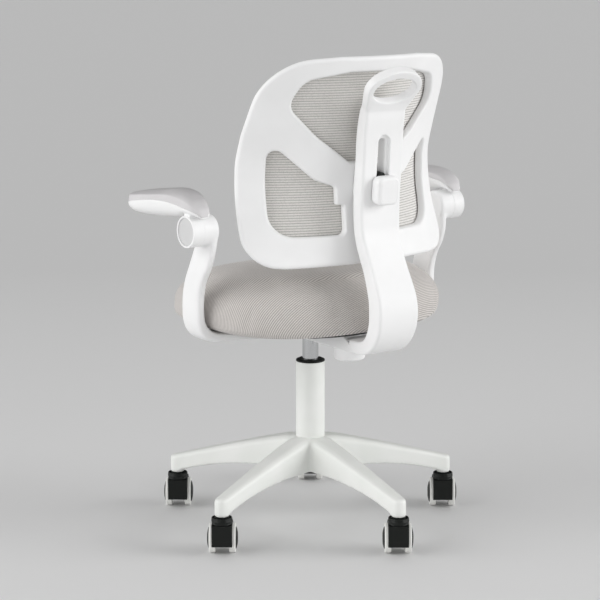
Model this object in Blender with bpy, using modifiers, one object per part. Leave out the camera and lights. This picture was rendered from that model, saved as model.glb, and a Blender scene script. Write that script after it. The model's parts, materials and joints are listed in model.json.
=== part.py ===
"""A child's swivel desk chair, in metres, +Z up, the sitter facing -Y.

The origin is on the floor under the middle of the chair's box. Shapes are drawn about the gas lift's axis,
and one empty carries them to that origin.
"""

import math

import bmesh
import bpy
from mathutils import Matrix, Vector

# Clearances
GAP = 0.0003
RUN = 0.0005
SHEET_GAP = 0.0010
WELD = 0.00001
PAST = 0.010

# Round counts
FINE = 24
ROUND = 16
COARSE = 12

# Footprint
COLUMN_Y = -0.009
LEG_COUNT = 5
STEM_CIRCLE_R = 0.2495

# Casters
WHEEL_R = 0.025
WHEEL_WIDTH = 0.011
WHEEL_BORE_DEPTH = 0.0095
CAP_DOME = 0.0035
CAP_R = 0.0195
TYRE_SHOULDER = 0.0025
WHEEL_SPACING = 0.0228
CASTER_TRAIL = 0.020
CASTER_TURN = math.radians(-36)
FENDER_WIDTH = 0.0346
FENDER_CLEARANCE = 0.0015
FENDER_WALL = 0.004
FENDER_FRONT_Y = 0.0145
FENDER_BOTTOM_Z = 0.011
WEB_WIDTH = 0.021
COLLAR_R = 0.0175
COLLAR_HEIGHT = 0.0105
HOOD_CROWN = 0.001
AXLE_R = 0.003
STEM_R = 0.005
STEM_GRIP = 0.029
STEM_SEAT = 0.010

# Star base
LEG_ROOT_S = 0.040
LEG_ROOT_TOP_Z = 0.155
LEG_ROOT_BOTTOM_Z = 0.100
LEG_ROOT_TOP_WIDTH = 0.038
LEG_ROOT_BOTTOM_WIDTH = 0.054
LEG_TIP_TOP_Z = 0.1005
LEG_TIP_RISE = 0.0015
LEG_TIP_TOP_WIDTH = 0.019
LEG_TIP_BOTTOM_WIDTH = 0.022
LEG_TOP_ARCH = 1.1
LEG_BOTTOM_ARCH = 2.6
LEG_STATIONS = 5
LEG_CHAMFER = 0.35
SOCKET_R = 0.01225
SOCKET_ROUND = 0.004

# Gas lift
TUBE_R = 0.025
TUBE_WALL = 0.0022
TUBE_BOTTOM_Z = 0.097
TUBE_TOP_Z = 0.288
TUBE_FLOOR = 0.003
BUSH_SLEEVE = 0.045
BUSH_LIP = 0.0045
CYLINDER_R = 0.014
CYLINDER_BOTTOM_Z = 0.160
CYLINDER_BORE_R = 0.0105
CYLINDER_BORE_DEPTH = 0.140
PISTON_HEIGHT = 0.010
PISTON_TOP_Z = 0.250
ROD_R = 0.004
ROD_SHOULDER_R = 0.007
ROD_SHOULDER = 0.008
BEARING_R = 0.015
BEARING_HEIGHT = 0.005
CLIP_R = 0.008
CLIP_HEIGHT = 0.0025
PIN_R = 0.003
PIN_LENGTH = 0.0145
PIN_PROUD = 0.0045
PIN_HOLE_DEPTH = 0.0152
SOCKET_DEPTH = 0.0082

# Mechanism housing
HOUSING_WIDTH = 0.070
HOUSING_BOTTOM_Z = 0.335
HOUSING_FRONT_Y = -0.062
HOUSING_NOSE = 0.022
HOUSING_REAR_TOP_Y = 0.141
HOUSING_REAR_BOTTOM_Y = 0.173
HOUSING_WALL = 0.0035
CHANNEL_FRONT_Y = 0.045

# Lift lever
LEVER_R = 0.003
LEVER_SLOT = 0.0012
LEVER_INNER_X = 0.004
LEVER_ELBOW_X = -0.048
LEVER_BEND_X = -0.082
LEVER_BEND_Y = -0.050
LEVER_DROP = 0.0145
LEVER_END_X = -0.192
LEVER_END_Y = -0.058
PADDLE_LENGTH = 0.058
PADDLE_WIDTH = 0.026
PADDLE_HEIGHT = 0.011
PADDLE_GRIP = 0.018
PADDLE_CORNER = 0.009
PADDLE_HEEL = 0.004
PADDLE_EDGE = 0.002

# Seat
PAN_Z = 0.360
PAN_THICKNESS = 0.008
PAN_HALF_WIDTH = 0.148
PAN_HALF_DEPTH = 0.160
SEAT_HALF_WIDTH = 0.229
SEAT_HALF_DEPTH = 0.190
SEAT_CENTRE_Y = -0.011
SEAT_POWER = 2.6
SEAT_POINTS = 20
SEAT_TOP_Z = 0.461
SEAT_SIDE_RISE = 0.013
CUSHION_LIFT = 0.002
SEAT_SLOPE = 0.004
SEAT_FRONT_DROP = 0.018

# Arms
HINGE_REACH = 0.039
HINGE_Y = 0.0456
HINGE_Z = 0.5455
BARREL_R = 0.026
BARREL_LENGTH = 0.0213
KNUCKLE_LENGTH = 0.0289
CAP_DISC_R = 0.022
CAP_DISC_THICKNESS = 0.0024
HINGE_PIN_R = 0.005
HINGE_PIN_BITE = 0.020
ARM_FRONT = 0.200
ARM_REAR = 0.027
ARM_NOSE = 0.050
NECK_LENGTH = 0.024
POST_FOOT_X = 0.092
POST_FOOT_HALF = 0.0066
POST_CLEARANCE = 0.015
POST_Y = 0.006
POST_FOOT_HALF_DEPTH = 0.0240
POST_TOP_DROP = 0.018
POST_TOP_HALF = 0.0058
POST_TOP_HALF_DEPTH = 0.0250

# Post foot, from the middle outwards: distance in from the blade, rise, half thickness, half depth
POST_FOOT = (
    (0.0980, 0.0000, 0.0066, 0.0240),
    (0.0760, 0.0025, 0.0068, 0.0242),
    (0.0490, 0.0050, 0.0076, 0.0245),
    (0.0260, 0.0080, 0.0088, 0.0248),
    (0.0095, 0.0187, 0.0094, 0.0250),
    (0.0018, 0.0342, 0.0090, 0.0250),
)

# Post blade, going up: distance back, height, half thickness, half depth
POST_BLADE = (
    (0.0000, 0.405, 0.0084, 0.0250),
    (0.0015, 0.432, 0.0082, 0.0250),
    (0.0085, 0.456, 0.0080, 0.0252),
    (0.0230, 0.483, 0.0072, 0.0272),
    (0.0350, 0.508, 0.0066, 0.0290),
)

# Armrest plan from nose to tail: distance ahead of the hinge, inner edge, outer edge, rise of the inner rim
ARM_PLAN = (
    (0.2000, -0.0580, 0.0020, 0.0000),
    (0.1300, -0.0580, 0.0020, 0.0000),
    (0.0660, -0.0580, 0.0020, 0.0060),
    (0.0300, -0.0485, 0.0020, 0.0090),
    (0.0133, -0.0440, 0.0020, 0.0075),
    (-0.0033, -0.0390, 0.0010, 0.0055),
    (-0.0150, -0.0355, -0.0025, 0.0030),
    (-0.0220, -0.0325, -0.0080, 0.0010),
    (-0.0270, -0.0255, -0.0145, 0.0000),
)

# Armrest shell from nose to tail: distance ahead of the hinge, underside, outer rim
SHELL_LINE = (
    (0.1750, 0.0118, 0.0290),
    (0.1500, 0.0105, 0.0330),
    (0.1300, 0.0108, 0.0362),
    (0.0950, 0.0130, 0.0402),
    (0.0550, 0.0170, 0.0412),
    (0.0260, 0.0215, 0.0392),
    (0.0100, 0.0272, 0.0370),
    (-0.0040, 0.0275, 0.0352),
    (-0.0140, 0.0265, 0.0325),
    (-0.0215, 0.0238, 0.0282),
)
SHELL_NOSE = ((0.001, 0.0215, 0.0228), (0.010, 0.0165, 0.0255))
SHELL_TAIL = (0.0008, 0.0212, 0.0230)

# Armrest pad from nose to tail: distance ahead of the hinge, outer underside, top
PAD_LINE = (
    (0.1750, 0.0298, 0.0425),
    (0.1500, 0.0338, 0.0480),
    (0.1300, 0.0370, 0.0525),
    (0.0950, 0.0410, 0.0590),
    (0.0550, 0.0420, 0.0640),
    (0.0300, 0.0402, 0.0640),
    (0.0120, 0.0382, 0.0618),
    (-0.0020, 0.0364, 0.0572),
    (-0.0100, 0.0348, 0.0518),
    (-0.0170, 0.0322, 0.0445),
    (-0.0225, 0.0288, 0.0370),
)
PAD_NOSE = ((0.000, 0.0238, 0.0345), (0.008, 0.0262, 0.0385))
PAD_TAIL = (0.0240, 0.0275)
PAD_SIDE_SHARE = 0.5
PAD_LEAST_HALF = 0.006
NECK_LOW = 0.018
NECK_HIGH = 0.0305
NECK_REAR = 0.006

# Back bar
BAR_THICKNESS = 0.0245
BAR_CORNER = 0.005
BAR_HALF_WIDTH = 0.041
BAR_STRAIGHT_Z = 0.585
BAR_STRAIGHT_TOP_Z = 0.708
BAR_NECK_Y = 0.1962
BAR_NECK_Z = 0.727
BAR_NECK_THICKNESS = 0.0235
BAR_TOP_THICKNESS = 0.0195
BAR_TOP_HALF_WIDTH = 0.0415
SLOT_Z = 0.598
SLOT_TOP_Z = 0.694
SLOT_WIDTH = 0.014
SLOT_LEAN = math.radians(4.2)
BAR_SLOT_Y = 0.1848
HANDLE_BASE_Y = 0.2068
HANDLE_BASE_Z = 0.7514
HANDLE_LEAN = math.radians(35)
HANDLE_HALF_WIDTH = 0.053
HANDLE_BOTTOM = -0.006
HANDLE_TOP = 0.069
HANDLE_NECK = 0.0405
HANDLE_FOOT = -0.012
HANDLE_THICKNESS = 0.016
HANDLE_EDGE = 0.003
GRIP_HALF_WIDTH = 0.0415
GRIP_BOTTOM = 0.0055
GRIP_TOP = 0.0545
TONGUE_WIDTH = 0.060
TONGUE_THICKNESS = 0.0135
TONGUE_FRONT_Y = 0.058
DEPTH_TRAVEL = 0.035
SEAM = 0.0022

# Bar from under the seat up to its straight stretch: y, z, thickness, half width
BAR_CURL = (
    (0.1860, 0.3465, 0.0225, 0.0380),
    (0.2040, 0.3520, 0.0255, 0.0385),
    (0.2190, 0.3665, 0.0290, 0.0395),
    (0.2285, 0.3860, 0.0315, 0.0405),
    (0.2315, 0.4080, 0.0320, 0.0410),
    (0.2290, 0.4300, 0.0310, 0.0405),
    (0.2210, 0.4520, 0.0285, 0.0395),
    (0.2105, 0.4750, 0.0260, 0.0385),
    (0.1990, 0.4990, 0.0252, 0.0385),
    (0.1898, 0.5210, 0.0248, 0.0392),
    (0.1852, 0.5400, 0.0245, 0.0400),
    (0.1840, 0.5600, 0.0245, 0.0406),
)

# Clamp knobs
KNOB_Y = 0.112
KNOB_R = 0.027
KNOB_HEIGHT = 0.0235
KNOB_ROUND = 0.004
SCREW_R = 0.004
HEIGHT_KNOB_WIDTH = 0.044
HEIGHT_KNOB_HEIGHT = 0.047
HEIGHT_KNOB_DEPTH = 0.0205
HEIGHT_KNOB_CORNER = 0.011
HEIGHT_KNOB_EDGE = 0.003
HEIGHT_KNOB_Z = 0.6105
BLOCK_HEIGHT = 0.040
BLOCK_RECESS = 0.002
SCREW_BITE = 0.010

# Back frame
BACK_HALF_WIDTH = 0.203
BACK_WAIST_Z = 0.607
WAIST_SOFT = 0.016
CENTRE_WAIST_Y = 0.157
EDGE_WAIST_Z = 0.645
EDGE_WAIST_Y = 0.0675
CENTRE_UPPER_RISE = 0.038
CENTRE_UPPER_SPAN = 0.170
CENTRE_LOWER_RISE = 0.011
CENTRE_LOWER_SPAN = 0.133
EDGE_UPPER_RISE = 0.051
EDGE_UPPER_SPAN = 0.137
EDGE_LOWER_RISE = 0.030
EDGE_LOWER_SPAN = 0.123
FRAME_THICKNESS = 0.014
FRAME_FLAT_X = 0.150
FRAME_BOTTOM_Z = 0.4825
FRAME_LOWER_X = 0.2090
FOOT_RISE = 0.006
FRAME_LOWER_R = 0.046
FRAME_WAIST_X = 0.2040
WAIST_SHARE = 0.3841
FRAME_SHOULDER_X = 0.2015
SHOULDER_SHARE = 0.6304
FRAME_UPPER_X = 0.1895
CROWN_DROP = 0.0075
FRAME_UPPER_R = 0.080
FRAME_CROWN_X = 0.080
FRAME_TOP_Z = 0.8275
SPINE_HALF = 0.0440
RIB_SHARE = 0.3652
RIB_HEIGHT_SHARE = 0.1290
RIB_RISE_SHARE = 0.2304
BOTTOM_RAIL = 0.0440
SIDE_RAIL = 0.0455
UPPER_SIDE_RAIL = 0.054
UPPER_DEPTH_SHARE = 0.2087
UPPER_CORNER_RAIL = 0.0595
TOP_CORNER_SHARE = 0.0899
CROWN_STEP = 0.020
TOP_RAIL = 0.026
UPPER_FOOT_R_SHARE = 0.0350
UPPER_SIDE_R_SHARE = 0.0754
UPPER_TOP_R_SHARE = 0.0870
LOWER_SIDE_R = 0.036
RIB_R = 0.011
RIB_BEND_X = 0.097
RIB_BEND_SHARE = 0.2565
RIB_BEND_R_SHARE = 0.260
RIB_SAG_X = 0.092
RIB_SAG_SHARE = 0.0420
RIB_SAG_R_SHARE = 0.145
UPPER_FOOT_X = 0.036
BRACKET_HALF = 0.0575
BRACKET_RISE_SHARE = 0.0101
BRACKET_HEIGHT_SHARE = 0.0870
BRACKET_R = 0.008
BRACKET_FOOT_R = 0.003
SPINE_R = 0.010
BACK_CELL = 0.034
FRAME_RIM = 0.006
MESH_THICKNESS = 0.003
MESH_INSET = 0.009
CARRIAGE_HALF_WIDTH = 0.028
CARRIAGE_BOTTOM_Z = 0.596
CARRIAGE_TOP_Z = 0.648

# Sizes that follow from those above
CASTER_TOP_Z = WHEEL_R * 2 + FENDER_CLEARANCE + FENDER_WALL + HOOD_CROWN + COLLAR_HEIGHT
LEG_TIP_BOTTOM_Z = CASTER_TOP_Z + GAP * 2
TUBE_BORE_R = TUBE_R - TUBE_WALL
HOUSING_TOP_Z = PAN_Z - GAP
CYLINDER_TOP_Z = HOUSING_BOTTOM_Z + SOCKET_DEPTH
PIN_TOP_Z = CYLINDER_TOP_Z + PIN_PROUD
LEVER_Z = PIN_TOP_Z + GAP * 2 + LEVER_R
POST_X = SEAT_HALF_WIDTH + POST_CLEARANCE
HINGE_X = POST_X + HINGE_REACH
BARREL_INNER_X = HINGE_X - BARREL_LENGTH
KNUCKLE_OUTER_X = BARREL_INNER_X - GAP
KNUCKLE_INNER_X = KNUCKLE_OUTER_X - KNUCKLE_LENGTH
KNUCKLE_R = BARREL_R - RUN
CENTRE_ABOVE = (CENTRE_UPPER_RISE, CENTRE_UPPER_SPAN, 1.3)
CENTRE_BELOW = (CENTRE_LOWER_RISE, CENTRE_LOWER_SPAN, 1.3)
EDGE_ABOVE = (EDGE_UPPER_RISE, EDGE_UPPER_SPAN, 1.15)
EDGE_BELOW = (EDGE_LOWER_RISE, EDGE_LOWER_SPAN, 2.1)
FRAME_LOWER_Z = FRAME_BOTTOM_Z + FOOT_RISE
FRAME_UPPER_Z = FRAME_TOP_Z - CROWN_DROP
FRAME_HEIGHT = FRAME_TOP_Z - FRAME_BOTTOM_Z
FRAME_WAIST_Z = FRAME_BOTTOM_Z + FRAME_HEIGHT * WAIST_SHARE
FRAME_SHOULDER_Z = FRAME_BOTTOM_Z + FRAME_HEIGHT * SHOULDER_SHARE
RIB_Z = FRAME_BOTTOM_Z + FRAME_HEIGHT * RIB_SHARE
RIB_HEIGHT = FRAME_HEIGHT * RIB_HEIGHT_SHARE
RIB_RISE = FRAME_HEIGHT * RIB_RISE_SHARE
RIB_BEND_RISE = FRAME_HEIGHT * RIB_BEND_SHARE
RIB_BEND_R = FRAME_HEIGHT * RIB_BEND_R_SHARE
RIB_SAG_RISE = FRAME_HEIGHT * RIB_SAG_SHARE
RIB_SAG_R = FRAME_HEIGHT * RIB_SAG_R_SHARE
BRACKET_TOP_Z = RIB_Z + FRAME_HEIGHT * BRACKET_RISE_SHARE
BRACKET_Z = BRACKET_TOP_Z - FRAME_HEIGHT * BRACKET_HEIGHT_SHARE
UPPER_DEPTH = FRAME_HEIGHT * UPPER_DEPTH_SHARE
TOP_CORNER_RAIL = FRAME_HEIGHT * TOP_CORNER_SHARE
UPPER_FOOT_R = FRAME_HEIGHT * UPPER_FOOT_R_SHARE
UPPER_SIDE_R = FRAME_HEIGHT * UPPER_SIDE_R_SHARE
UPPER_TOP_R = FRAME_HEIGHT * UPPER_TOP_R_SHARE
SLOT_AXIS = Vector((0, math.sin(SLOT_LEAN), math.cos(SLOT_LEAN)))
SLOT_NORMAL = Vector((0, math.cos(SLOT_LEAN), -math.sin(SLOT_LEAN)))

# Finishes: colour, roughness, metallic
WHITE = ("white_plastic", (0.83, 0.83, 0.81), 0.42, 0.0)
BLACK = ("black_plastic", (0.012, 0.013, 0.012), 0.45, 0.0)
PALE_GREY = ("pale_grey_plastic", (0.54, 0.54, 0.54), 0.45, 0.0)
PAD_GREY = ("grey_soft_pad", (0.42, 0.41, 0.42), 0.6, 0.0)
WHEEL_PALE = ("pale_tyre", (0.78, 0.78, 0.77), 0.5, 0.0)
STEEL = ("steel", (0.55, 0.55, 0.56), 0.3, 1.0)
CHROME = ("chrome", (0.72, 0.72, 0.73), 0.12, 1.0)
FABRIC = ("seat_fabric", (0.54, 0.51, 0.48), 0.9, 0.0)
MESH = ("back_mesh_fabric", (0.46, 0.44, 0.41), 0.9, 0.0)

for old in list(bpy.data.objects):
    bpy.data.objects.remove(old)
PARTS = bpy.data.collections.new("kids_desk_chair")
bpy.context.scene.collection.children.link(PARTS)


# Mesh tools


def mesh_of(bm):
    """The bmesh as a mesh with its faces turned outwards."""
    bmesh.ops.recalc_face_normals(bm, faces=bm.faces)
    if bm.calc_volume(signed=True) < 0:
        bmesh.ops.reverse_faces(bm, faces=bm.faces)
    mesh = bpy.data.meshes.new("shape")
    bm.to_mesh(mesh)
    bm.free()
    return mesh


def work_object(data):
    obj = bpy.data.objects.new("work", data)
    bpy.context.scene.collection.objects.link(obj)
    return obj


def evaluated(obj):
    """The object's mesh with its modifiers applied and its caps welded. The object itself goes."""
    bpy.context.view_layer.update()
    graph = bpy.context.evaluated_depsgraph_get()
    mesh = bpy.data.meshes.new_from_object(obj.evaluated_get(graph))
    bm = bmesh.new()
    bm.from_mesh(mesh)
    bmesh.ops.remove_doubles(bm, verts=bm.verts, dist=WELD)
    bm.to_mesh(mesh)
    bm.free()
    bpy.data.objects.remove(obj)
    return mesh


def boolean(mesh, tool, operation):
    body = work_object(mesh)
    helper = work_object(tool)
    step = body.modifiers.new(operation, "BOOLEAN")
    step.operation = operation
    step.solver = "EXACT"
    step.object = helper
    result = evaluated(body)
    bpy.data.objects.remove(helper)
    return result


def united(mesh, *others):
    for other in others:
        mesh = boolean(mesh, other, "UNION")
    return mesh


def cut(mesh, *tools):
    for tool in tools:
        mesh = boolean(mesh, tool, "DIFFERENCE")
    return mesh


def moved(mesh, matrix):
    copy = mesh.copy()
    copy.transform(matrix)
    if matrix.determinant() < 0:
        copy.flip_normals()
    return copy


def shifted(mesh, x, y, z):
    return moved(mesh, Matrix.Translation((x, y, z)))


def mirrored(mesh):
    return moved(mesh, Matrix.Scale(-1, 4, (1, 0, 0)))


def box(low, high):
    size = Vector(high) - Vector(low)
    centre = (Vector(high) + Vector(low)) / 2
    bm = bmesh.new()
    bmesh.ops.create_cube(bm, matrix=Matrix.Translation(centre) @ Matrix.Diagonal((*size, 1)))
    return mesh_of(bm)


def cylinder(radius, bottom, top, segments=ROUND):
    """A cylinder on the Z axis."""
    bm = bmesh.new()
    middle = Matrix.Translation((0, 0, (bottom + top) / 2))
    size = {"radius1": radius, "radius2": radius, "depth": top - bottom}
    bmesh.ops.create_cone(bm, cap_ends=True, segments=segments, matrix=middle, **size)
    return mesh_of(bm)


def along_x(mesh):
    """A shape on the Z axis, laid with its +Z along +X."""
    return moved(mesh, Matrix.Rotation(math.pi / 2, 4, "Y"))


def turned(profile, segments=ROUND, closed=False):
    """A shape turned about Z from (radius, height) points that run down its outer side."""
    bm = bmesh.new()
    verts = [bm.verts.new((radius, 0, height)) for radius, height in profile]
    ends = verts[1:] + verts[:1] if closed else verts[1:]
    for first, second in zip(verts, ends):
        bm.edges.new((first, second))
    mesh = bpy.data.meshes.new("profile")
    bm.to_mesh(mesh)
    bm.free()
    obj = work_object(mesh)
    screw = obj.modifiers.new("turn", "SCREW")
    screw.steps = segments
    screw.render_steps = segments
    screw.use_merge_vertices = True
    screw.merge_threshold = WELD
    return evaluated(obj)


def loft(rings):
    """A closed skin over rings of points, with a flat cap on each end."""
    bm = bmesh.new()
    rows = [[bm.verts.new(point) for point in ring] for ring in rings]
    for low, high in zip(rows, rows[1:]):
        for i, corner in enumerate(low):
            j = (i + 1) % len(low)
            bm.faces.new((corner, low[j], high[j], high[i]))
    bm.faces.new(rows[0])
    bm.faces.new(rows[-1])
    return mesh_of(bm)


def extruded(outline, thickness, holes=(), edge=0.0):
    """A flat outline in XY with holes, made thickness thick about Z, with its edges rounded by edge."""
    curve = bpy.data.curves.new("outline", "CURVE")
    curve.dimensions = "2D"
    curve.fill_mode = "BOTH"
    curve.extrude = thickness / 2 - edge
    curve.bevel_depth = edge
    curve.bevel_resolution = 1
    curve.offset = -edge
    for loop in (outline, *holes):
        spline = curve.splines.new("POLY")
        spline.points.add(len(loop) - 1)
        for point, (x, y) in zip(spline.points, loop):
            point.co = (x, y, 0, 1)
        spline.use_cyclic_u = True
    return evaluated(work_object(curve))


def side_plate(outline, width):
    """A (y, z) outline made width wide about the middle plane."""
    upright = Matrix(((0, 0, 1, 0), (1, 0, 0, 0), (0, 1, 0, 0), (0, 0, 0, 1)))
    return moved(extruded(outline, width), upright)


def tube(points, radius):
    """A round rod along points, with closed ends."""
    curve = bpy.data.curves.new("rod", "CURVE")
    curve.dimensions = "3D"
    curve.bevel_depth = radius
    curve.bevel_resolution = 2
    curve.use_fill_caps = True
    spline = curve.splines.new("POLY")
    spline.points.add(len(points) - 1)
    for point, place in zip(spline.points, points):
        point.co = (*place, 1)
    return evaluated(work_object(curve))


# Outlines and paths


def arc(centre, radius, start, end, steps):
    """Points on an arc from start to end, in degrees."""
    angles = [math.radians(start + (end - start) * i / steps) for i in range(steps + 1)]
    return [(centre[0] + radius * math.cos(a), centre[1] + radius * math.sin(a)) for a in angles]


def ellipse(centre, half_width, half_height, count):
    angles = [math.tau * i / count for i in range(count)]
    return [(centre[0] + half_width * math.cos(a), centre[1] + half_height * math.sin(a)) for a in angles]


def signed_power(value, power):
    return math.copysign(abs(value) ** power, value)


def superellipse(half_width, half_height, power, count):
    """A squared-off ellipse. A higher power is squarer."""
    points = []
    for i in range(count):
        angle = math.tau * i / count
        x = half_width * signed_power(math.cos(angle), 2 / power)
        y = half_height * signed_power(math.sin(angle), 2 / power)
        points.append((x, y))
    return points


def rounded(corners, steps=4):
    """Corners (x, y, radius), anticlockwise, as a polygon with an arc at each corner."""
    points = []
    for i, (x, y, radius) in enumerate(corners):
        here = Vector((x, y))
        back = (Vector(corners[i - 1][:2]) - here).normalized()
        ahead = (Vector(corners[(i + 1) % len(corners)][:2]) - here).normalized()
        half = math.acos(max(-1, min(1, back.dot(ahead)))) / 2
        if radius == 0 or half > math.radians(89):
            points.append((x, y))
            continue
        centre = here + (back + ahead).normalized() * (radius / math.sin(half))
        start = here + back * (radius / math.tan(half)) - centre
        end = here + ahead * (radius / math.tan(half)) - centre
        first = math.atan2(start.y, start.x)
        sweep = (math.atan2(end.y, end.x) - first + math.pi) % math.tau - math.pi
        for k in range(steps + 1):
            angle = first + sweep * k / steps
            points.append((centre.x + radius * math.cos(angle), centre.y + radius * math.sin(angle)))
    return points


def ring(centre, across, along, section):
    """A flat section as points about centre, its first number along across and its second along along."""
    return [centre + across * x + along * y for x, y in section]


# Parts and finishes


def finish(spec):
    name, colour, roughness, metallic = spec
    material = bpy.data.materials.get(name)
    if material is None:
        material = bpy.data.materials.new(name)
        material.use_nodes = True
        shader = material.node_tree.nodes["Principled BSDF"]
        shader.inputs["Base Color"].default_value = (*colour, 1)
        shader.inputs["Roughness"].default_value = roughness
        shader.inputs["Metallic"].default_value = metallic
    return material


def empty(name, place, parent=None, turn=0.0):
    obj = bpy.data.objects.new(name, None)
    obj.location = place
    obj.rotation_euler = (0, 0, turn)
    obj.parent = parent
    PARTS.objects.link(obj)
    return obj


def part(name, mesh, spec, parent, place=(0, 0, 0), rotation=(0, 0, 0)):
    mesh.shade_smooth()
    mesh.set_sharp_from_angle(angle=math.radians(35))
    mesh.materials.clear()
    mesh.materials.append(finish(spec))
    obj = bpy.data.objects.new(name, mesh)
    obj.location = place
    obj.rotation_euler = rotation
    obj.parent = parent
    PARTS.objects.link(obj)
    return obj


# Star base


def leg_point(t):
    """Distance from the axis, top, bottom and half widths of a leg, t running from root to tip."""
    top = LEG_ROOT_TOP_Z + (LEG_TIP_TOP_Z - LEG_ROOT_TOP_Z) * max(t, 0) ** LEG_TOP_ARCH
    tip_bottom = LEG_TIP_BOTTOM_Z + LEG_TIP_RISE
    bottom = LEG_ROOT_BOTTOM_Z + (tip_bottom - LEG_ROOT_BOTTOM_Z) * max(t, 0) ** LEG_BOTTOM_ARCH
    wide_top = LEG_ROOT_TOP_WIDTH + (LEG_TIP_TOP_WIDTH - LEG_ROOT_TOP_WIDTH) * t
    wide_bottom = LEG_ROOT_BOTTOM_WIDTH + (LEG_TIP_BOTTOM_WIDTH - LEG_ROOT_BOTTOM_WIDTH) * t
    return LEG_ROOT_S + (STEM_CIRCLE_R - LEG_ROOT_S) * t, top, bottom, wide_top / 2, wide_bottom / 2


def leg_ring(s, top, bottom, half_top, half_bottom):
    chamfer = half_top * LEG_CHAMFER
    return [
        (s, -half_bottom, bottom),
        (s, half_bottom, bottom),
        (s, half_top + chamfer / 4, top - chamfer),
        (s, half_top - chamfer, top),
        (s, chamfer - half_top, top),
        (s, -half_top - chamfer / 4, top - chamfer),
    ]


def star_base():
    """One leg along +X is trimmed to its fifth of the circle, then five turned copies are welded."""
    rings = [leg_ring(0, *leg_point(0)[1:])]
    for i in range(LEG_STATIONS + 1):
        rings.append(leg_ring(*leg_point(i / LEG_STATIONS)))
    bm = bmesh.new()
    bm.from_mesh(loft(rings))
    half_turn = math.pi / LEG_COUNT
    for side in (1, -1):
        normal = (-math.sin(half_turn), side * math.cos(half_turn), 0)
        everything = bm.verts[:] + bm.edges[:] + bm.faces[:]
        plane = {"plane_co": (0, 0, 0), "plane_no": normal, "dist": WELD}
        bmesh.ops.bisect_plane(bm, geom=everything, clear_outer=True, **plane)
    inner = [face for face in bm.faces if face.calc_center_median().x < WELD]
    bmesh.ops.delete(bm, geom=inner, context="FACES")
    fifth = bpy.data.meshes.new("fifth")
    bm.to_mesh(fifth)
    bm.free()
    star = bmesh.new()
    for turn in leg_turns():
        star.from_mesh(moved(fifth, Matrix.Rotation(turn, 4, "Z")))
    bmesh.ops.remove_doubles(star, verts=star.verts, dist=WELD * 2)
    mesh = mesh_of(star)
    round_top = LEG_TIP_TOP_Z + LEG_TIP_RISE
    socket = turned(
        [
            (0, round_top),
            (SOCKET_R - SOCKET_ROUND, round_top),
            (SOCKET_R - SOCKET_ROUND / 4, round_top - SOCKET_ROUND / 4),
            (SOCKET_R, round_top - SOCKET_ROUND),
            (SOCKET_R, LEG_TIP_BOTTOM_Z),
            (0, LEG_TIP_BOTTOM_Z),
        ]
    )
    hole = cylinder(STEM_R + GAP, LEG_TIP_BOTTOM_Z - PAST, CASTER_TOP_Z + STEM_GRIP + GAP, COARSE)
    for turn in leg_turns():
        place = Matrix.Rotation(turn, 4, "Z") @ Matrix.Translation((STEM_CIRCLE_R, 0, 0))
        mesh = cut(united(mesh, moved(socket, place)), moved(hole, place))
    return cut(mesh, cylinder(TUBE_R + GAP, LEG_ROOT_BOTTOM_Z - PAST, LEG_ROOT_TOP_Z + PAST, FINE))


def leg_turns():
    return [math.pi / 2 + math.tau * i / LEG_COUNT for i in range(LEG_COUNT)]


# Casters


def wheel():
    """Tyre and domed hub cap, turned about Z, the inner face at z = 0 with a blind bore for the axle."""
    tread = WHEEL_R / math.cos(math.pi / ROUND)
    bore = AXLE_R + RUN
    return turned(
        [
            (0, WHEEL_WIDTH + CAP_DOME),
            (CAP_R * 0.62, WHEEL_WIDTH + CAP_DOME * 0.75),
            (CAP_R, WHEEL_WIDTH),
            (tread - TYRE_SHOULDER, WHEEL_WIDTH),
            (tread, WHEEL_WIDTH - TYRE_SHOULDER),
            (tread, TYRE_SHOULDER),
            (tread - TYRE_SHOULDER, 0),
            (bore, 0),
            (bore, WHEEL_BORE_DEPTH),
            (0, WHEEL_BORE_DEPTH),
        ]
    )


def caster_hood():
    """Fender over the wheels, web between them and round collar on top, drawn with the stem on Z."""
    hub = (-CASTER_TRAIL, WHEEL_R)
    inner = WHEEL_R / math.cos(math.pi / ROUND) + FENDER_CLEARANCE
    outer = inner + FENDER_WALL
    lip = math.degrees(math.asin((FENDER_BOTTOM_Z - WHEEL_R) / inner))
    top = CASTER_TOP_Z - COLLAR_HEIGHT
    outline = arc(hub, outer, 90, 190, 7) + arc(hub, inner, 190, lip, 12)
    outline += [(FENDER_FRONT_Y, FENDER_BOTTOM_Z), (FENDER_FRONT_Y, top), (hub[0] + outer / 4, top)]
    web = arc(hub, inner + FENDER_WALL / 2, 15, 165, 6) + arc(hub, AXLE_R * 3, 200, 340, 4)
    collar = cylinder(COLLAR_R, top - FENDER_WALL / 2, CASTER_TOP_Z, ROUND)
    mesh = united(side_plate(outline, FENDER_WIDTH), side_plate(web, WEB_WIDTH), collar)
    bore = along_x(cylinder(AXLE_R + GAP, -WEB_WIDTH, WEB_WIDTH, COARSE))
    stem_hole = cylinder(STEM_R + GAP, CASTER_TOP_Z - STEM_SEAT - GAP, CASTER_TOP_Z + PAST, COARSE)
    return cut(mesh, shifted(bore, 0, *hub), stem_hole)


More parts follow.
